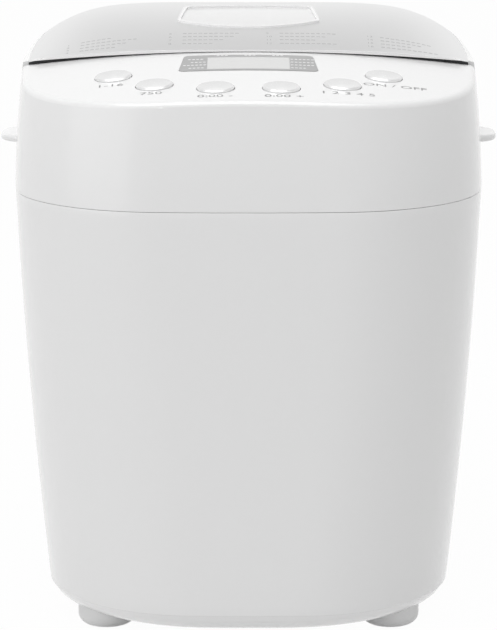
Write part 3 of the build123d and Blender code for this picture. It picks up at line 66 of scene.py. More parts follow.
Surface = Callable[[np.ndarray, np.ndarray], np.ndarray]
Socket = bpy.types.NodeSocket


class Pattern(Enum):
    """How a finish varies over its surface."""

    PEEL = "soft waviness of a moulded skin"
    FLAKE = "fine bright specks"
    BRUSH = "long fine scratches along one axis"
    SPECK = "coarse specks of a non-stick coat"


# Octaves of the noise behind each pattern
OCTAVES = {Pattern.PEEL: 3.0, Pattern.FLAKE: 1.0, Pattern.BRUSH: 4.0}
# Scale of a pattern that runs alike along all axes
EVEN = (1.0, 1.0, 1.0)


class Along(Enum):
    """Axis that long scratches follow."""

    X = (0.02, 1.0, 1.0)
    Y = (1.0, 0.02, 1.0)
    Z = (1.0, 1.0, 0.02)


class Tree:
    """Small helper that adds nodes to a material and links them."""

    def __init__(self, name: str) -> None:
        """Start an empty node tree.

        Args:
            name: The material's name.
        """
        self.material = bpy.data.materials.new(name)
        self.material.use_nodes = True
        self.nodes = self.material.node_tree.nodes
        self.links = self.material.node_tree.links
        self.nodes.clear()
        self.output = self.nodes.new("ShaderNodeOutputMaterial")

    def add(self, kind: str, inputs: Dict[str | int, object]) -> bpy.types.Node:
        """Add one node and set or link its inputs.

        Args:
            kind: The node's type, without the leading "ShaderNode".
            inputs: Values or output sockets by the input's name or number.

        Returns:
            The new node.
        """
        node = self.nodes.new("ShaderNode" + kind)
        for key, value in inputs.items():
            if isinstance(value, bpy.types.NodeSocket):
                self.links.new(value, node.inputs[key])
            else:
                node.inputs[key].default_value = value
        return node

    def place(self, scale: Sequence[float]) -> Socket:
        """Object coordinates stretched by a scale.

        Args:
            scale: One factor for each axis.

        Returns:
            The vector socket.
        """
        spot = self.add("TexCoord", {})
        mapping = self.add("Mapping", {"Vector": spot.outputs["Object"], "Scale": tuple(scale)})
        return mapping.outputs["Vector"]

    def noise(self, vector: Socket, scale: float, detail: float) -> Socket:
        """Noise value between 0 and 1 at a vector.

        Args:
            vector: Where it is read.
            scale: Cells per metre.
            detail: Octaves.

        Returns:
            The value socket.
        """
        node = self.add("TexNoise", {"Vector": vector, "Scale": scale, "Detail": detail})
        return node.outputs["Fac"]

    def spread(self, value: Socket, low: float, high: float) -> Socket:
        """A value from 0 to 1 mapped onto a range.

        Args:
            value: The value socket.
            low: Result at 0.
            high: Result at 1.

        Returns:
            The mapped value socket.
        """
        node = self.add("MapRange", {"Value": value, "To Min": low, "To Max": high})
        return node.outputs["Result"]

    def tint(self, value: Socket, low: Colour, high: Colour) -> Socket:
        """A colour between two, by a value from 0 to 1.

        Args:
            value: The value socket.
            low: Colour at 0.
            high: Colour at 1.

        Returns:
            The colour socket.
        """
        node = self.add("ValToRGB", {"Fac": value})
        node.color_ramp.elements[0].color = (*low, 1.0)
        node.color_ramp.elements[1].color = (*high, 1.0)
        return node.outputs["Color"]

    def bump(self, height: Socket, strength: float, distance: float) -> Socket:
        """A normal disturbed by a height field.

        Args:
            height: The height socket.
            strength: Share of the effect.
            distance: Height in metres at 1.

        Returns:
            The normal socket.
        """
        node = self.add("Bump", {"Height": height, "Strength": strength, "Distance": distance})
        return node.outputs["Normal"]

    def finish(self, shader: bpy.types.Node) -> bpy.types.Material:
        """Connect the last shader and return the material.

        Args:
            shader: The node whose first output is the surface.

        Returns:
            The finished material.
        """
        self.links.new(shader.outputs[0], self.output.inputs["Surface"])
        return self.material


@dataclass(frozen=True)
class Finish:
    """One opaque finish: a colour, a gloss and how both vary over the surface.

    The pattern has a scale in cells per metre. It moves the colour by the contrast, the roughness by the
    swing and the surface by the relief, in metres.
    """

    name: str
    colour: Colour
    roughness: float
    metallic: float = 0.0
    coat: float = 0.0
    coat_roughness: float = 0.08
    specular: float = 0.5
    pattern: Pattern = Pattern.PEEL
    along: Along = Along.Y
    scale: float = 700.0
    contrast: float = 0.02
    swing: float = 0.1
    relief: float = 0.00001
    relief_share: float = 0.5
    anisotropy: float = 0.0

    def height(self, tree: Tree) -> Socket:
        """The value that colour, gloss and relief follow.

        Args:
            tree: The material under construction.

        Returns:
            A socket between 0 and 1.
        """
        vector = tree.place(self.along.value if self.pattern is Pattern.BRUSH else EVEN)
        if self.pattern is Pattern.SPECK:
            cells = tree.add("TexVoronoi", {"Vector": vector, "Scale": self.scale})
            return tree.spread(cells.outputs["Distance"], 1.0, 0.0)
        return tree.noise(vector, self.scale, OCTAVES[self.pattern])

    def make(self) -> bpy.types.Material:
        """Build the material.

        Returns:
            A Principled material with the pattern in its colour, roughness and relief.
        """
        tree = Tree(self.name)
        value = self.height(tree)
        low = tuple(part * (1 - self.contrast) for part in self.colour)
        high = tuple(min(1.0, part * (1 + self.contrast)) for part in self.colour)
        dull = min(1.0, self.roughness * (1 + self.swing))
        shader = tree.add("BsdfPrincipled", {
            "Base Color": tree.tint(value, low, high),
            "Roughness": tree.spread(value, self.roughness * (1 - self.swing), dull),
            "Metallic": self.metallic,
            "Specular IOR Level": self.specular,
            "Coat Weight": self.coat,
            "Coat Roughness": self.coat_roughness,
            "Anisotropic": self.anisotropy,
            "Normal": tree.bump(value, self.relief_share, self.relief),
        })
        return tree.finish(shader)


@dataclass(frozen=True)
class Pane:
    """Clear sheet with a faint tint and a trace of dust."""

    name: str
    colour: Colour
    roughness: float
    transmission: float = 1.0
    ior: float = 1.49
    dust_scale: float = 260.0
    dust_octaves: float = 4.0
    dust_shade: float = 0.97
    swing: float = 0.3

    def make(self) -> bpy.types.Material:
        """Build the material.

        Returns:
            A transmissive Principled material.
        """
        tree = Tree(self.name)
        dust = tree.noise(tree.place(EVEN), self.dust_scale, self.dust_octaves)
        shaded = tuple(part * self.dust_shade for part in self.colour)
        clear = self.roughness * (1 - self.swing)
        dull = self.roughness * (1 + self.swing)
        shader = tree.add("BsdfPrincipled", {
            "Base Color": tree.tint(dust, shaded, self.colour),
            "Roughness": tree.spread(dust, clear, dull),
            "Transmission Weight": self.transmission,
            "IOR": self.ior,
        })
        return tree.finish(shader)


# Finishes of the outside, then of the inside, then inks and film, then panes
WHITE = Finish("moulded_white", (0.89, 0.89, 0.89), 0.24, coat=0.5, coat_roughness=0.04, scale=420.0,
               contrast=0.006, relief=0.000010)
FOOT_WHITE = Finish("foot_white", (0.85, 0.85, 0.85), 0.42, scale=2600.0, contrast=0.03, relief=0.00002)
SATIN = Finish("satin_plate", (0.82, 0.82, 0.82), 0.30, metallic=0.9, pattern=Pattern.FLAKE, scale=5200.0,
               contrast=0.03, relief=0.000003)
KEY = Finish("spun_key", (0.89, 0.89, 0.89), 0.26, metallic=0.55, pattern=Pattern.FLAKE, scale=7000.0,
             contrast=0.02, relief=0.000003, anisotropy=0.55)
INNER_DARK = Finish("inner_dark", (0.022, 0.022, 0.024), 0.5, scale=1800.0, contrast=0.12, relief=0.00002)
RUBBER = Finish("pad_rubber", (0.03, 0.03, 0.03), 0.75, scale=2400.0, contrast=0.2, relief=0.00003)
SILICONE = Finish("grey_silicone", (0.36, 0.36, 0.35), 0.6, scale=1500.0, contrast=0.06, relief=0.00002)
LINER = Finish("pressed_liner", (0.72, 0.72, 0.71), 0.3, metallic=1.0, pattern=Pattern.BRUSH, along=Along.X,
               scale=2600.0, contrast=0.08, relief=0.000006)
OVEN = Finish("oven_sheet", (0.66, 0.66, 0.65), 0.34, metallic=1.0, pattern=Pattern.BRUSH, along=Along.Z,
              scale=2200.0, contrast=0.1, relief=0.000008)
HEATER = Finish("heater_sheath", (0.10, 0.095, 0.09), 0.5, metallic=0.8, scale=900.0, contrast=0.3,
                relief=0.00002)
CERAMIC = Finish("bush_ceramic", (0.76, 0.73, 0.66), 0.7, scale=1600.0, contrast=0.06, relief=0.00003)
STEEL = Finish("bare_steel", (0.58, 0.58, 0.58), 0.26, metallic=1.0, pattern=Pattern.BRUSH, along=Along.Z,
               scale=4200.0, contrast=0.1, relief=0.000004)
CAST = Finish("die_cast", (0.42, 0.42, 0.42), 0.48, metallic=0.9, scale=2200.0, contrast=0.12, relief=0.00003)
BRONZE = Finish("sintered_bronze", (0.42, 0.27, 0.12), 0.5, metallic=0.9, scale=3400.0, contrast=0.2,
                relief=0.00002)
MOTOR = Finish("motor_paint", (0.09, 0.09, 0.095), 0.45, scale=900.0, contrast=0.15, relief=0.00002)
BOARD = Finish("board_green", (0.02, 0.10, 0.045), 0.35, pattern=Pattern.BRUSH, along=Along.X, scale=900.0,
               contrast=0.3, relief=0.00001)
NON_STICK = Finish("non_stick", (0.035, 0.035, 0.037), 0.4, metallic=0.3, pattern=Pattern.SPECK, scale=900.0,
                   contrast=0.5, relief=0.00002)
INK_GREY = Finish("grey_ink", (0.24, 0.24, 0.24), 0.5, scale=2000.0, contrast=0.06, relief=0.000002)
INK_PALE = Finish("pale_ink", (0.52, 0.52, 0.52), 0.5, scale=2000.0, contrast=0.05, relief=0.000002)
INK_WHITE = Finish("white_ink", (0.85, 0.85, 0.85), 0.5, scale=2000.0, contrast=0.03, relief=0.000002)
FILM_GREY = Finish("film_grey", (0.40, 0.40, 0.40), 0.3, specular=0.25, scale=1400.0, contrast=0.02,
                   relief=0.000002)
CRYSTAL = Finish("liquid_crystal", (0.70, 0.70, 0.695), 0.25, specular=0.3, scale=1800.0, contrast=0.015,
                 relief=0.000002)
WINDOW = Pane("window_glass", (0.935, 0.935, 0.935), 0.12, transmission=0.15)
INNER_GLASS = Pane("inner_glass", (0.96, 0.97, 0.97), 0.03)


class Palette:
    """Makes each finish once and hands it out."""

    def __init__(self) -> None:
        """Start with no materials."""
        self.made: Dict[str, bpy.types.Material] = {}

    def get(self, finish: Finish | Pane) -> bpy.types.Material:
        """The material of a finish.

        Args:
            finish: The finish wanted.

        Returns:
            Its material, made at the first call.
        """
        if finish.name not in self.made:
            self.made[finish.name] = finish.make()
        return self.made[finish.name]


def rounded_bars(centres: Sequence[Spot], sizes: Sequence[Spot], steps: int, share: float) -> Outlines:
    """Outlines of round-ended bars.

    Each outline is four quarter circles about the centres of its corners; the corner radius is a share of
    the bar's shorter side.

    Args:
        centres: Middle of each bar in plan.
        sizes: Width and depth of each bar.
        steps: Points on each quarter circle.
        share: Corner radius as a share of the shorter side.

    Returns:
        One closed outline for each bar: bars by points by two.
    """
    middle = np.asarray(centres, float)[:, None, None, :]
    size = np.asarray(sizes, float)
    corner = share * size.min(axis=1)
    signs = np.array([(1, 1), (-1, 1), (-1, -1), (1, -1)], float)
    knots = signs[None, :, :] * (size / 2 - corner[:, None])[:, None, :]
    turn = np.arange(4)[:, None] * math.pi / 2 + np.linspace(0, math.pi / 2, steps)[None, :]
    arcs = np.stack([np.cos(turn), np.sin(turn)], -1)[None]
    rims = middle + knots[:, :, None, :] + corner[:, None, None, None] * arcs
    return rims.reshape(len(size), -1, 2)


def discs(centres: Sequence[Spot], radius: float, steps: int) -> Outlines:
    """Outlines of discs: points at even turns on a circle about each centre.

    Args:
        centres: Middle of each disc in plan.
        radius: Their radius.
        steps: Points on each circle.

    Returns:
        One closed outline for each disc.
    """
    turn = np.linspace(0, 2 * math.pi, steps, endpoint=False)
    circle = radius * np.stack([np.cos(turn), np.sin(turn)], -1)
    return np.asarray(centres, float)[:, None, :] + circle[None]


@dataclass(frozen=True)
class Dash:
    """A short printed bar with round ends, and the space to the next one in its row."""

    length: float
    gap: float
    depth: float
    steps: int = 3
    round_share: float = 0.48

    def rows(self, lines: Sequence[Tuple[float, float, float]]) -> Outlines:
        """Outlines of bars in rows, as many as fit in each row: (run + gap) / (length + gap), rounded.

        Args:
            lines: Start, place along and length of each row.

        Returns:
            One closed outline for each bar.
        """
        pitch = self.length + self.gap
        middles = [(x + step * pitch + self.length / 2, y) for x, y, run in lines
                   for step in range(max(1, round((run + self.gap) / pitch)))]
        return rounded_bars(middles, [(self.length, self.depth)] * len(middles), self.steps, self.round_share)


def joined(shapes: Sequence[Shape]) -> Shape:
    """Several meshes as one: the indices of each are counted on from the vertices before it.

    Args:
        shapes: Vertex places and faces of each mesh.

    Returns:
        Vertex places and faces of them all.
    """
    starts = np.cumsum([0] + [len(points) for points, _ in shapes]).tolist()
    faces = [[start + index for index in face] for start, (_, own) in zip(starts, shapes) for face in own]
    return np.concatenate([points for points, _ in shapes]), faces


def level_grid(x: np.ndarray, y: np.ndarray, height: float) -> Shape:
    """Four-sided faces over a grid of places in plan, all at one height.

    Args:
        x: Places across, rows by columns.
        y: Places along, rows by columns.
        height: The height.

    Returns:
        Vertex places and faces.
    """
    index = np.arange(y.size).reshape(y.shape)
    quads = np.stack([index[:-1, :-1], index[:-1, 1:], index[1:, 1:], index[1:, :-1]], -1)
    points = np.stack([x, y, np.full(y.shape, height)], -1)
    return points.reshape(-1, 3), quads.reshape(-1, 4).tolist()


def printed(outlines: Outlines, surface: Surface, lift: float, depth: float) -> Shape:
    """Closed plates that follow a surface z = f(x, y).

    Each outline gives a top face at f + lift, a bottom face at f + lift - depth and a wall between them.

    Args:
        outlines: Closed outlines in plan, all with the same number of points.
        surface: The surface's height at x and y.
        lift: Height of the top above the surface.
        depth: Thickness of the plates.

    Returns:
        Vertex places and faces.
    """
    flat = outlines.reshape(-1, 2)
    top = np.column_stack([flat, surface(flat[:, 0], flat[:, 1]) + lift])
    upper = np.arange(len(flat)).reshape(outlines.shape[:2])
    lower = upper + len(flat)
    walls = np.stack([upper, lower, np.roll(lower, -1, axis=1), np.roll(upper, -1, axis=1)], -1)
    faces = upper.tolist() + lower[:, ::-1].tolist() + walls.reshape(-1, 4).tolist()
    return np.concatenate([top, top - (0.0, 0.0, depth)]), faces


def tube_grid(grid: np.ndarray) -> Shape:
    """Closed skin from a grid of points that closes on itself both ways.

    Args:
        grid: Rows by columns by three; the last row joins the first, and so do the columns.

    Returns:
        Vertex places and four-sided faces.
    """
    rows, columns = grid.shape[:2]
    index = np.arange(rows * columns).reshape(rows, columns)
    below = np.roll(index, -1, axis=0)
    quads = np.stack([index, np.roll(index, -1, axis=1), np.roll(below, -1, axis=1), below], -1)
    return grid.reshape(-1, 3), quads.reshape(-1, 4).tolist()


def lettering(text: str, size: float, steps: int = 3) -> Shape:
    """Flat mesh of a number or sign in the built-in typeface, with its lower left corner at the origin.

    Args:
        text: The number or sign.
        size: Height of the typeface in metres.
        steps: Points between two knots of a curve.

    Returns:
        Vertex places in plan and faces.
    """
    curve = bpy.data.curves.new("lettering", "FONT")
    curve.body = text
    curve.size = size
    curve.resolution_u = steps
    holder = bpy.data.objects.new("lettering", curve)
    mesh = bpy.data.meshes.new_from_object(holder)
    flat = np.empty(3 * len(mesh.vertices))
    mesh.vertices.foreach_get("co", flat)
    faces = [list(face.vertices) for face in mesh.polygons]
    bpy.data.objects.remove(holder)
    bpy.data.curves.remove(curve)
    bpy.data.meshes.remove(mesh)
    return flat.reshape(-1, 3)[:, :2], faces


def apply(thing: bpy.types.Object) -> None:
    """Make the result of a piece's modifiers its own mesh.

    Args:
        thing: The piece.
    """
    whole = bpy.data.meshes.new_from_object(thing.evaluated_get(bpy.context.evaluated_depsgraph_get()))
    thing.modifiers.clear()
    thing.data = whole


def thicken(thing: bpy.types.Object, depth: float) -> None:
    """Give a sheet a thickness below its faces and keep the finished mesh.

    Args:
        thing: The sheet, which may have other modifiers.
        depth: The thickness.
    """
    body = thing.modifiers.new("body", "SOLIDIFY")
    body.thickness = depth
    body.offset = -1.0
    apply(thing)


def settle(thing: bpy.types.Object, ground: bpy.types.Object, lift: float, depth: float) -> None:
    """Drop a flat piece straight down onto a solid and give it a thickness.

    Args:
        thing: The flat piece, which lies above the solid.
        ground: The solid.
        lift: Height of the piece above it.
        depth: Thickness of the piece.
    """
    drop = thing.modifiers.new("drop", "SHRINKWRAP")
    drop.target = ground
    drop.wrap_method = "PROJECT"
    drop.use_project_z = True
    drop.use_positive_direction = False
    drop.use_negative_direction = True
    drop.offset = lift
    thicken(thing, depth)


def smooth(thing: bpy.types.Object, angle: float = 35.0) -> None:
    """Shade a piece smoothly, except across edges sharper than an angle.

    Args:
        thing: The piece.
        angle: The angle in degrees.
    """
    thing.data.shade_smooth()
    thing.data.set_sharp_from_angle(angle=math.radians(angle))


def cut(thing: bpy.types.Object, tool: Shape) -> None:
    """Take a closed shape away from a piece.

    Args:
        thing: The piece.
        tool: Vertex places and faces of the shape.
    """
    mesh = bpy.data.meshes.new("tool")
    mesh.from_pydata(tool[0].tolist(), [], tool[1])
    cutter = bpy.data.objects.new("tool", mesh)
    bpy.context.scene.collection.objects.link(cutter)
    work = thing.modifiers.new("cut", "BOOLEAN")
    work.operation = "DIFFERENCE"
    work.solver = "EXACT"
    work.object = cutter
    apply(thing)
    bpy.data.objects.remove(cutter)
    bpy.data.meshes.remove(mesh)


def along_y(outlines: Outlines, low: float, high: float) -> Shape:
    """Closed prisms along Y from outlines in x and z.

    Args:
        outlines: Outlines by points by two.
        low: Where they start.
        high: Where they end.

    Returns:
        Vertex places and faces.
    """
    points, faces = printed(outlines, lambda x, y: np.zeros_like(x), high, high - low)
    return points[:, [0, 2, 1]], [face[::-1] for face in faces]


@dataclass(frozen=True)
class PlanShape:
    """Plan outline of the housing: bowed sides and ends joined by tangent corner arcs.

    The steps are the points along half a side, a corner and half an end.
    """

    side_radius: float = 0.740
    end_radius: float = 0.740
    corner_radius: float = 0.072
    steps: Tuple[int, int, int] = (16, 30, 14)

    def outline(self, half_width: np.ndarray, half_depth: np.ndarray, inset: np.ndarray) -> np.ndarray:
        """Outlines for several sizes at once.

        The side arc has its centre on the x axis and the end arc on the y axis. The corner arc's centre lies
        where circles about these two, of their radius less the corner's, cross each other.

        Args:
            half_width: Half width of each outline.
            half_depth: Half depth of each outline.
            inset: How far each one is drawn in.

        Returns:
            Closed outlines: sizes by points by two.
        """
        side = self.side_radius - inset
        end = self.end_radius - inset
        corner = self.corner_radius - inset
        side_x = half_width - inset - side
        end_y = half_depth - inset - end
        gap = np.hypot(side_x, end_y)
        along = ((side - corner) ** 2 - (end - corner) ** 2 + gap ** 2) / (2 * gap)
        across = np.sqrt((side - corner) ** 2 - along ** 2)
        corner_x = side_x - side_x / gap * along - end_y / gap * across
        corner_y = end_y / gap * along - side_x / gap * across
        first = np.arctan2(corner_y, corner_x - side_x)
        second = np.arctan2(corner_y - end_y, corner_x)
        zero = np.zeros_like(gap)
        arcs = ((zero, first, side_x, zero, side), (first, second, corner_x, corner_y, corner),
                (second, zero + math.pi / 2, zero, end_y, end))
        runs = []
        for (low, high, x, y, radius), count in zip(arcs, self.steps):
            turn = low[:, None] + (high - low)[:, None] * np.arange(count)[None] / count
            runs.append(np.stack([x[:, None] + radius[:, None] * np.cos(turn),
                                  y[:, None] + radius[:, None] * np.sin(turn)], -1))
        last = np.stack([zero, end_y + end], -1)[:, None]
        quarter = np.concatenate(runs + [last], axis=1)
        back = quarter[:, ::-1]
        return np.concatenate([quarter[:, :-1], back[:, :-1] * (-1, 1), quarter[:, :-1] * (-1, -1),
                               back[:, :-1] * (1, -1)], axis=1)


@dataclass(frozen=True)
class Taper:
    """Half sizes that change with height: a straight taper with a parabolic bulge."""

    low: float
    high: float
    low_half: Spot
    high_half: Spot
    bulge: float

    def sizes(self, height: np.ndarray) -> Tuple[np.ndarray, np.ndarray]:
        """Half width and half depth at some heights.

        Each is low + (high - low) s + 4 bulge s (1 - s), where s is the share of the way up.

        Args:
            height: Heights in metres.

        Returns:
            Half widths and half depths.
        """
        share = (np.asarray(height) - self.low) / (self.high - self.low)
        extra = 4 * self.bulge * share * (1 - share)
        half_width, half_depth = (low + (high - low) * share + extra
                                  for low, high in zip(self.low_half, self.high_half))
        return half_width, half_depth


@dataclass(frozen=True)
class PanelShape:
    """The crowned key panel: a cylinder of large radius that slopes up towards the lid."""

    front_y: float = -0.1433
    front_height: float = 0.2549
    slope: float = math.radians(8.0)
    crown: float = 0.700

    def height(self, x: np.ndarray, y: np.ndarray) -> np.ndarray:
        """Height of the panel.

        The sag of the crown is R - sqrt(R^2 - x^2). The run up the slope is (y - front - sag sin) / cos, and
        the height is the front's height + run sin - sag cos.

        Args:
            x: Places across.
            y: Places along.

        Returns:
            Heights in metres.
        """
        sag = self.crown - np.sqrt(self.crown ** 2 - np.asarray(x) ** 2)
        run = (np.asarray(y) - self.front_y - sag * math.sin(self.slope)) / math.cos(self.slope)
        return self.front_height + run * math.sin(self.slope) - sag * math.cos(self.slope)


@dataclass
class Workshop:
    """What every sub-assembly needs: the loaded solids and the palette."""

    nodes: Dict[str, bpy.types.Object]
    palette: Palette = field(default_factory=Palette)

    def dress(self, finish: Finish | Pane, *names: str) -> None:
        """Give solids a finish.

        Args:
            finish: The finish.
            *names: The solids' names.
        """
        for name in names:
            node = self.nodes[name]
            for slot in node.material_slots:
                slot.material = self.palette.get(finish)
            LOG.info("%s: %s", name, finish.name)

    def piece(self, name: str, shape: Shape, finish: Finish | Pane, body: str, slot: str) -> bpy.types.Object:
        """Make a new piece from arrays, give it a finish and let it ride on a body.

        Args:
            name: The piece's name.
            shape: Vertex places in metres, one row each, and the vertex indices of each face.
            finish: The piece's finish.
            body: The body that it moves with.
            slot: The record's material slot; it is not used.

        Returns:
            The new object.
        """
        points, faces = shape
        mesh = bpy.data.meshes.new(name)
        mesh.from_pydata(points.tolist(), [], faces)
        mesh.update()
        mesh.validate()
        thing = bpy.data.objects.new(name, mesh)
        bpy.context.scene.collection.objects.link(thing)
        mesh.materials.append(self.palette.get(finish))
        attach(thing, body)
        LOG.info("%s: %d faces, %s", name, len(faces), finish.name)
        return thing


@dataclass(frozen=True)
class Softbox:
    """A square lamp that hangs at a place and faces a point: lengths in metres, power in watts."""

    name: str
    place: Place
    aim: Place
    size: float
    power: float

    def hang(self) -> None:
        """Add the lamp, turned so that its face looks at the point."""
        data = bpy.data.lights.new(self.name, "AREA")
        data.size = self.size
        data.energy = self.power
        lamp = bpy.data.objects.new(self.name, data)
        lamp.location = self.place
        way = np.array(self.aim) - np.array(self.place)
        flat = math.hypot(way[0], way[1])
        lamp.rotation_euler = (math.atan2(flat, -way[2]), 0.0, math.atan2(way[1], way[0]) - math.pi / 2)
        bpy.context.scene.collection.objects.link(lamp)


@dataclass
class Stage:
    """Floor, lamps, world and camera of a plain pale studio.

    The focal length is in pixels of a picture of the frame's height. The surroundings are full white up to
    the lower end of the ceiling's band, as heights on a sphere of radius 1, and fall to the overhead share
    at its upper end.
    """

    eye: Place = (0.0, -1.450, 0.4325)
    pitch: float = 0.207
    focal_pixels: float = 2964.0
    frame_height: float = 630.0
    sensor: float = 36.0
    far: float = 100.0
    ambient: float = 0.49
    ceiling_band: Spot = (0.2, 0.75)
    overhead_share: float = 0.60
    floor_half: float = 8.0
    paper: Colour = (0.78, 0.78, 0.78)
    floor_white: float = 0.975
    lamps: Tuple[Softbox, ...] = (Softbox("overhead", (-0.15, -0.40, 1.9), (0.0, -0.05, 0.2), 1.6, 20.0),
                                  Softbox("left_box", (-2.3, -1.7, 0.6), (0.0, 0.0, 0.15), 2.6, 13.5))

    def camera(self) -> None:
        """Place the camera: it looks along +Y, tipped down by the pitch."""
        data = bpy.data.cameras.new("camera")
        data.sensor_width = self.sensor
        data.lens = self.focal_pixels / self.frame_height * self.sensor
        data.clip_end = self.far
        camera = bpy.data.objects.new("camera", data)
        camera.location = self.eye
        camera.rotation_euler = (math.pi / 2 - self.pitch, 0.0, 0.0)
        bpy.context.scene.collection.objects.link(camera)
        bpy.context.scene.camera = camera

    def seen(self, tree: bpy.types.NodeTree) -> Socket:
        """Whether a ray comes from the camera, a mirror-like or a clear surface.

        Args:
            tree: The node tree that needs it.

        Returns:
            A socket that is 1 for such a ray and 0 for others.
        """
        path = tree.nodes.new("ShaderNodeLightPath")
        total = path.outputs["Is Camera Ray"]
        for name in ("Is Glossy Ray", "Is Transmission Ray"):
            add = tree.nodes.new("ShaderNodeMath")
            add.operation = "MAXIMUM"
            tree.links.new(total, add.inputs[0])
            tree.links.new(path.outputs[name], add.inputs[1])
            total = add.outputs[0]
        return total

    def world(self) -> None:
        """White surroundings to the eye, with a duller ceiling, and softer as a source of light."""
        world = bpy.data.worlds.new("studio")
        bpy.context.scene.world = world
        world.use_nodes = True
        tree = world.node_tree
        sky = tree.nodes["Background"]
        sky.inputs["Color"].default_value = (1.0, 1.0, 1.0, 1.0)
        spot = tree.nodes.new("ShaderNodeTexCoord")
        axes = tree.nodes.new("ShaderNodeSeparateXYZ")
        tree.links.new(spot.outputs["Generated"], axes.inputs["Vector"])
        ceiling = tree.nodes.new("ShaderNodeMapRange")
        ceiling.inputs["From Min"].default_value = self.ceiling_band[0]
        ceiling.inputs["From Max"].default_value = self.ceiling_band[1]
        ceiling.inputs["To Min"].default_value = 1.0
        ceiling.inputs["To Max"].default_value = self.overhead_share
        tree.links.new(axes.outputs["Z"], ceiling.inputs["Value"])
        strength = tree.nodes.new("ShaderNodeMapRange")
        strength.inputs["To Min"].default_value = self.ambient
        tree.links.new(ceiling.outputs["Result"], strength.inputs["To Max"])
        tree.links.new(self.seen(tree), strength.inputs["Value"])
        tree.links.new(strength.outputs["Result"], sky.inputs["Strength"])

    def floor(self) -> None:
        """Pale floor that keeps a soft shadow and reads as white from above."""
        half = self.floor_half
        mesh = bpy.data.meshes.new("floor")
        corners = np.array([(-half, -half, 0), (half, -half, 0), (half, half, 0), (-half, half, 0)], float)
        mesh.from_pydata(corners.tolist(), [], [(0, 1, 2, 3)])
        floor = bpy.data.objects.new("floor", mesh)
        bpy.context.scene.collection.objects.link(floor)
        tree = Tree("floor_paper")
        paper = tree.add("BsdfDiffuse", {"Color": (*self.paper, 1.0)})
        glow = tree.add("Emission", {"Color": (1.0, 1.0, 1.0, 1.0), "Strength": 1.0})
        share = tree.spread(self.seen(tree.material.node_tree), 0.0, self.floor_white)
        mix = tree.add("MixShader", {0: share, 1: paper.outputs[0], 2: glow.outputs[0]})
        mesh.materials.append(tree.finish(mix))

    def build(self) -> None:
        """Set up the whole studio."""
        bpy.context.scene.view_settings.view_transform = "Standard"
        self.camera()
        self.world()
        self.floor()
        for lamp in self.lamps:
            lamp.hang()


@dataclass
class Housing:
    """Outer casing, collar, base and feet.

    The casing's rim rises past its taper by the seam's fill, which leaves a fine seam below the collar. The
    vents and the cord's hole are cut through the rear wall, over its reach in y.
    """

    shop: Workshop
    plan: PlanShape = PlanShape()
    taper: Taper = Taper(0.016, 0.205, (0.0992, 0.1428), (0.1131, 0.1480), 0.00155)
    wall: float = 0.0025
    edge: float = 0.0003
    edge_steps: int = 5
    rise_steps: int = 60
    seam_fill: float = 0.0004
    rear_reach: Spot = (0.12, 0.17)
    vent_rows: int = 7
    vent_bottom: float = 0.128
    vent_pitch: float = 0.008
    vent_size: Spot = (0.062, 0.003)
    vent_round_share: float = 0.499
    vent_steps: int = 8
    gland_place: Spot = (0.018, 0.042)
    gland_radius: float = 0.006
    gland_steps: int = 48

    def casing_skin(self) -> Shape:
        """Closed skin of the casing: the plan outline carried up the outside and down the inside.

        The section's corners are quarter circles; each of its points is a height and an inset of the plan.

        Returns:
            Vertex places and faces.
        """
        edge = self.edge
        low = self.taper.low
        high = self.taper.high + self.seam_fill
        turn = np.linspace(0, math.pi / 2, self.edge_steps)
        rise = np.linspace(low + edge, high - edge, self.rise_steps)
        height = np.concatenate([low + edge - edge * np.cos(turn), rise[1:-1],
                                 high - edge + edge * np.sin(turn), rise[::-1], [low]])
        inset = np.concatenate([edge - edge * np.sin(turn), np.zeros(self.rise_steps - 2),
                                edge - edge * np.cos(turn), np.full(self.rise_steps + 1, self.wall)])
        half_width, half_depth = self.taper.sizes(height)
        outline = self.plan.outline(half_width, half_depth, inset)
        level = np.broadcast_to(height[:, None, None], outline.shape[:2] + (1,))
        return tube_grid(np.concatenate([outline, level], axis=-1))

    def casing(self) -> None:
        """Replace the casing's solid by a smooth skin with the same vents and cord hole."""
        skin = self.shop.piece("casing_skin", self.casing_skin(), WHITE, "housing", "casing_white")
        rows = [(0.0, self.vent_bottom + row * self.vent_pitch) for row in range(self.vent_rows)]
        vents = rounded_bars(rows, [self.vent_size] * self.vent_rows, self.vent_steps, self.vent_round_share)
        cut(skin, along_y(vents, *self.rear_reach))
        cut(skin, along_y(discs([self.gland_place], self.gland_radius, self.gland_steps), *self.rear_reach))
        smooth(skin)
        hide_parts("lower_casing")

    def build(self) -> None:
        """Dress the outside."""
        self.casing()
        self.shop.dress(WHITE, "lower_casing", "upper_collar", "carry_handle_left", "carry_handle_right",
                        "base_plate")
        self.shop.dress(FOOT_WHITE, "foot_front_left", "foot_front_right", "foot_rear_left",
                        "foot_rear_right")
        self.shop.dress(RUBBER, "foot_pads")
        self.shop.dress(INNER_DARK, "cord_gland")
        self.shop.dress(STEEL, "foot_screws", "hinge_pins")


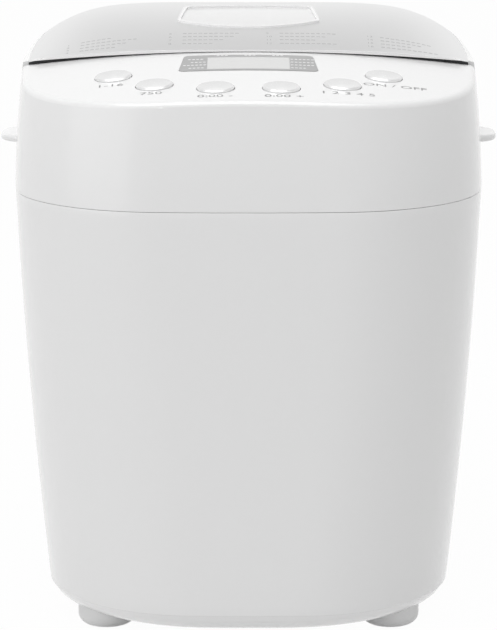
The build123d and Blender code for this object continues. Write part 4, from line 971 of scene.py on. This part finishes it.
@dataclass
class KeyPanel:
    """Keys, display and the boards behind them.

    Each sign in front of a key is given with the middle of its place. The film has rows of dashes left and
    right of the display, each row as long as its run, and short runs along its head.
    """

    shop: Workshop
    panel: PanelShape = PanelShape()
    lens_proud: float = 0.0002
    ink: float = 0.00003
    signs: Tuple[Tuple[str, float, float], ...] = (
        ("1-16", -0.0626, -0.1064), ("750", -0.0439, -0.1248), ("0:00 -", -0.0150, -0.1334),
        ("0:00 +", 0.0160, -0.1334), ("1 2 3 4 5", 0.0452, -0.1248), ("ON / OFF", 0.0668, -0.1066))
    sign_size: float = 0.0056
    sign_stretch: float = 1.25
    above: float = 0.30
    display_half: Spot = (0.0191, 0.0101)
    display_y: float = -0.0786
    display_steps: Tuple[int, int] = (49, 9)
    mark: Dash = Dash(0.0015, 0.0004, 0.0011)
    mark_rows: Tuple[float, ...] = (-0.0711, -0.0763, -0.0812, -0.0863)
    left_end: float = -0.0202
    left_runs: Tuple[float, ...] = (0.0081, 0.0068, 0.0103, 0.0076)
    right_start: float = 0.0195
    right_runs: Tuple[float, ...] = (0.0110, 0.0110, 0.0106, 0.0080)
    head_row: float = -0.0652
    head_starts: Tuple[float, ...] = (-0.0150, -0.0020, 0.0110)
    head_run: float = 0.0060

    def captions(self) -> Shape:
        """Plain numbers and signs in front of the keys, each set about the middle of its place.

        Returns:
            Vertex places on the panel, and faces.
        """
        shapes: List[Shape] = []
        for text, x, y in self.signs:
            flat, own = lettering(text, self.sign_size)
            flat = flat - (flat.min(axis=0) + flat.max(axis=0)) / 2
            shapes.append((flat * (self.sign_stretch, 1.0) + (x, y), own))
        plan, faces = joined(shapes)
        return np.column_stack([plan, self.panel.height(plan[:, 0], plan[:, 1]) + self.ink]), faces

    def lens_height(self, x: np.ndarray, y: np.ndarray) -> np.ndarray:
        """Height of the display window's outer face: the panel raised by how far the window stands proud.

        Args:
            x: Places across.
            y: Places along.

        Returns:
            Heights in metres.
        """
        return self.panel.height(x, y) + self.lens_proud

    def display_marks(self) -> Outlines:
        """White dashes on the film beside and behind the display, in rows.

        Returns:
            Outlines in plan.
        """
        lines = [(self.left_end - run, row, run) for run, row in zip(self.left_runs, self.mark_rows)]
        lines += [(self.right_start, row, run) for run, row in zip(self.right_runs, self.mark_rows)]
        lines += [(x, self.head_row, self.head_run) for x in self.head_starts]
        return self.mark.rows(lines)

    def display_glass(self) -> Shape:
        """Grid over the display, on a level plane above the panel.

        Returns:
            Vertex places and faces.
        """
        across, along = np.meshgrid(*(np.linspace(-half, half, steps)
                                      for half, steps in zip(self.display_half, self.display_steps)))
        return level_grid(across, self.display_y + along, self.above)

    def prints(self) -> None:
        """Add the signs, the display and its marks."""
        place = self.shop.piece
        ink = self.ink
        thicken(place("key_signs", self.captions(), INK_GREY, "housing", "switch_black"), 2 * ink)
        glass = place("display_glass", self.display_glass(), CRYSTAL, "housing", "display")
        settle(glass, self.shop.nodes["lcd_lens"], ink, 2 * ink)
        marks = printed(self.display_marks(), self.lens_height, ink, 2 * ink)
        place("display_marks", marks, INK_WHITE, "housing", "casing_white")

    def build(self) -> None:
        """Dress the panel."""
        self.prints()
        self.shop.dress(KEY, "button_menu", "button_weight", "button_timer_down", "button_timer_up",
                        "button_crust", "button_start")
        self.shop.dress(FILM_GREY, "lcd_lens")
        self.shop.dress(CRYSTAL, "lcd_module")
        self.shop.dress(BOARD, "control_board")
        self.shop.dress(STEEL, "board_screws")
        self.shop.dress(INNER_DARK, "tact_switches")


@dataclass
class Lid:
    """Domed lid with its plate, window, liner and seal.

    The printed list has columns of numbered rows. A row's run is the shortest one and some of the steps by
    which runs differ: the row's place times the stride, counted round.
    """

    shop: Workshop
    list_columns: Tuple[float, ...] = (-0.0868, -0.0381, 0.0081, 0.0562)
    list_front: float = -0.0510
    list_pitch: float = 0.0047
    list_rows: int = 4
    digit_size: float = 0.0032
    bar: Dash = Dash(0.0020, 0.0005, 0.0011)
    bar_start: float = 0.0066
    shortest_run: float = 0.0150
    run_step: float = 0.0022
    run_stride: int = 5
    run_kinds: int = 7
    list_lift: float = 0.00003
    list_depth: float = 0.00005
    above: float = 0.30
    edge_y: float = -0.0575
    edge_radius: float = 1.0050
    edge_half: float = 0.0975
    edge_steps: Tuple[int, int] = (141, 5)
    lip: float = 0.0015
    plate_back: float = 0.0013
    rim: float = 0.00035
    strip_lift: float = 0.00004
    strip_depth: float = 0.00006

    def plate_front(self) -> Shape:
        """Turned-down front of the satin plate, from the plate's edge nearly to the lip's edge.

        Both edges are arcs y = y0 + R - sqrt(R^2 - x^2); the strip is their blend.

        Returns:
            Vertex places on a level plane above the lid, and faces.
        """
        x = np.linspace(-self.edge_half, self.edge_half, self.edge_steps[0])
        bow = self.edge_radius - np.sqrt(self.edge_radius ** 2 - x ** 2)
        share = np.linspace(0, 1, self.edge_steps[1])[:, None]
        y = self.edge_y + bow + (1 - share) * (self.rim - self.lip) + share * self.plate_back
        return level_grid(np.broadcast_to(x, y.shape), y, self.above)

    def list_marks(self) -> Shape:
        """Numbers from 1 upwards in columns, each followed by short bars in a run of varied length.

        Returns:
            Vertex places on a level plane above the lid, and faces.
        """
        shapes: List[Shape] = []
        for place in range(len(self.list_columns) * self.list_rows):
            column, row = divmod(place, self.list_rows)
            x = self.list_columns[column]
            y = self.list_front + (self.list_rows - 1 - row) * self.list_pitch
            digits, own = lettering(str(place + 1), self.digit_size)
            shapes.append((digits + (x, y), own))
            run = self.shortest_run + self.run_step * (place * self.run_stride % self.run_kinds)
            bars = self.bar.rows([(x + self.bar_start, y + self.bar.depth, run)])
            shapes += [(bar, [list(range(len(bar)))]) for bar in bars]
        plan, faces = joined(shapes)
        return np.column_stack([plan, np.full(len(plan), self.above)]), faces

    def build(self) -> None:
        """Dress the lid."""
        marks = self.shop.piece("lid_list", self.list_marks(), INK_PALE, "lid", "switch_black")
        settle(marks, self.shop.nodes["lid_top_plate"], self.list_lift, self.list_depth)
        strip = self.shop.piece("plate_front", self.plate_front(), SATIN, "lid", "lid_satin")
        settle(strip, self.shop.nodes["lid_shell"], self.strip_lift, self.strip_depth)
        smooth(strip)
        self.shop.dress(WHITE, "lid_shell", "window_bezel")
        self.shop.dress(SATIN, "lid_top_plate")
        self.shop.dress(WINDOW, "window_pane")
        self.shop.dress(INNER_DARK, "lid_frame")
        self.shop.dress(LINER, "lid_liner")
        self.shop.dress(INNER_GLASS, "inner_pane")
        self.shop.dress(SILICONE, "lid_seal")
        self.shop.dress(STEEL, "lid_screws")


@dataclass
class Oven:
    """Oven chamber, heater and the baking pan with its paddle."""

    shop: Workshop

    def build(self) -> None:
        """Dress the oven and the pan."""
        self.shop.dress(OVEN, "oven_chamber", "heater_clips", "oven_posts", "chassis_plate")
        self.shop.dress(HEATER, "heating_element")
        self.shop.dress(CERAMIC, "heater_bushes")
        self.shop.dress(STEEL, "temperature_sensor", "handle_pivots", "pan_handle", "pan_shaft")
        self.shop.dress(CAST, "pan_socket", "pan_base_flange", "pan_coupling")
        self.shop.dress(NON_STICK, "bread_pan", "kneading_paddle")
        self.shop.dress(SILICONE, "pan_seal")


@dataclass
class Drive:
    """Motor, belt and shafts under the oven."""

    shop: Workshop

    def build(self) -> None:
        """Dress the drive."""
        self.shop.dress(MOTOR, "motor_body")
        self.shop.dress(STEEL, "drive_shaft", "motor_shaft", "chassis_screws")
        self.shop.dress(INNER_DARK, "driven_pulley", "motor_pulley", "motor_fan")
        self.shop.dress(RUBBER, "drive_belt")
        self.shop.dress(CAST, "drive_dog")
        self.shop.dress(BRONZE, "shaft_bearing")
        self.shop.dress(BOARD, "power_board")


def main() -> None:
    """Load the solids, dress them and set up the studio."""
    logging.basicConfig(level=logging.INFO, format="%(message)s")
    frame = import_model()
    shop = Workshop(frame["nodes"])
    for part in (Housing(shop), KeyPanel(shop), Lid(shop), Oven(shop), Drive(shop)):
        part.build()
    Stage().build()


if __name__ == "__main__":
    main()
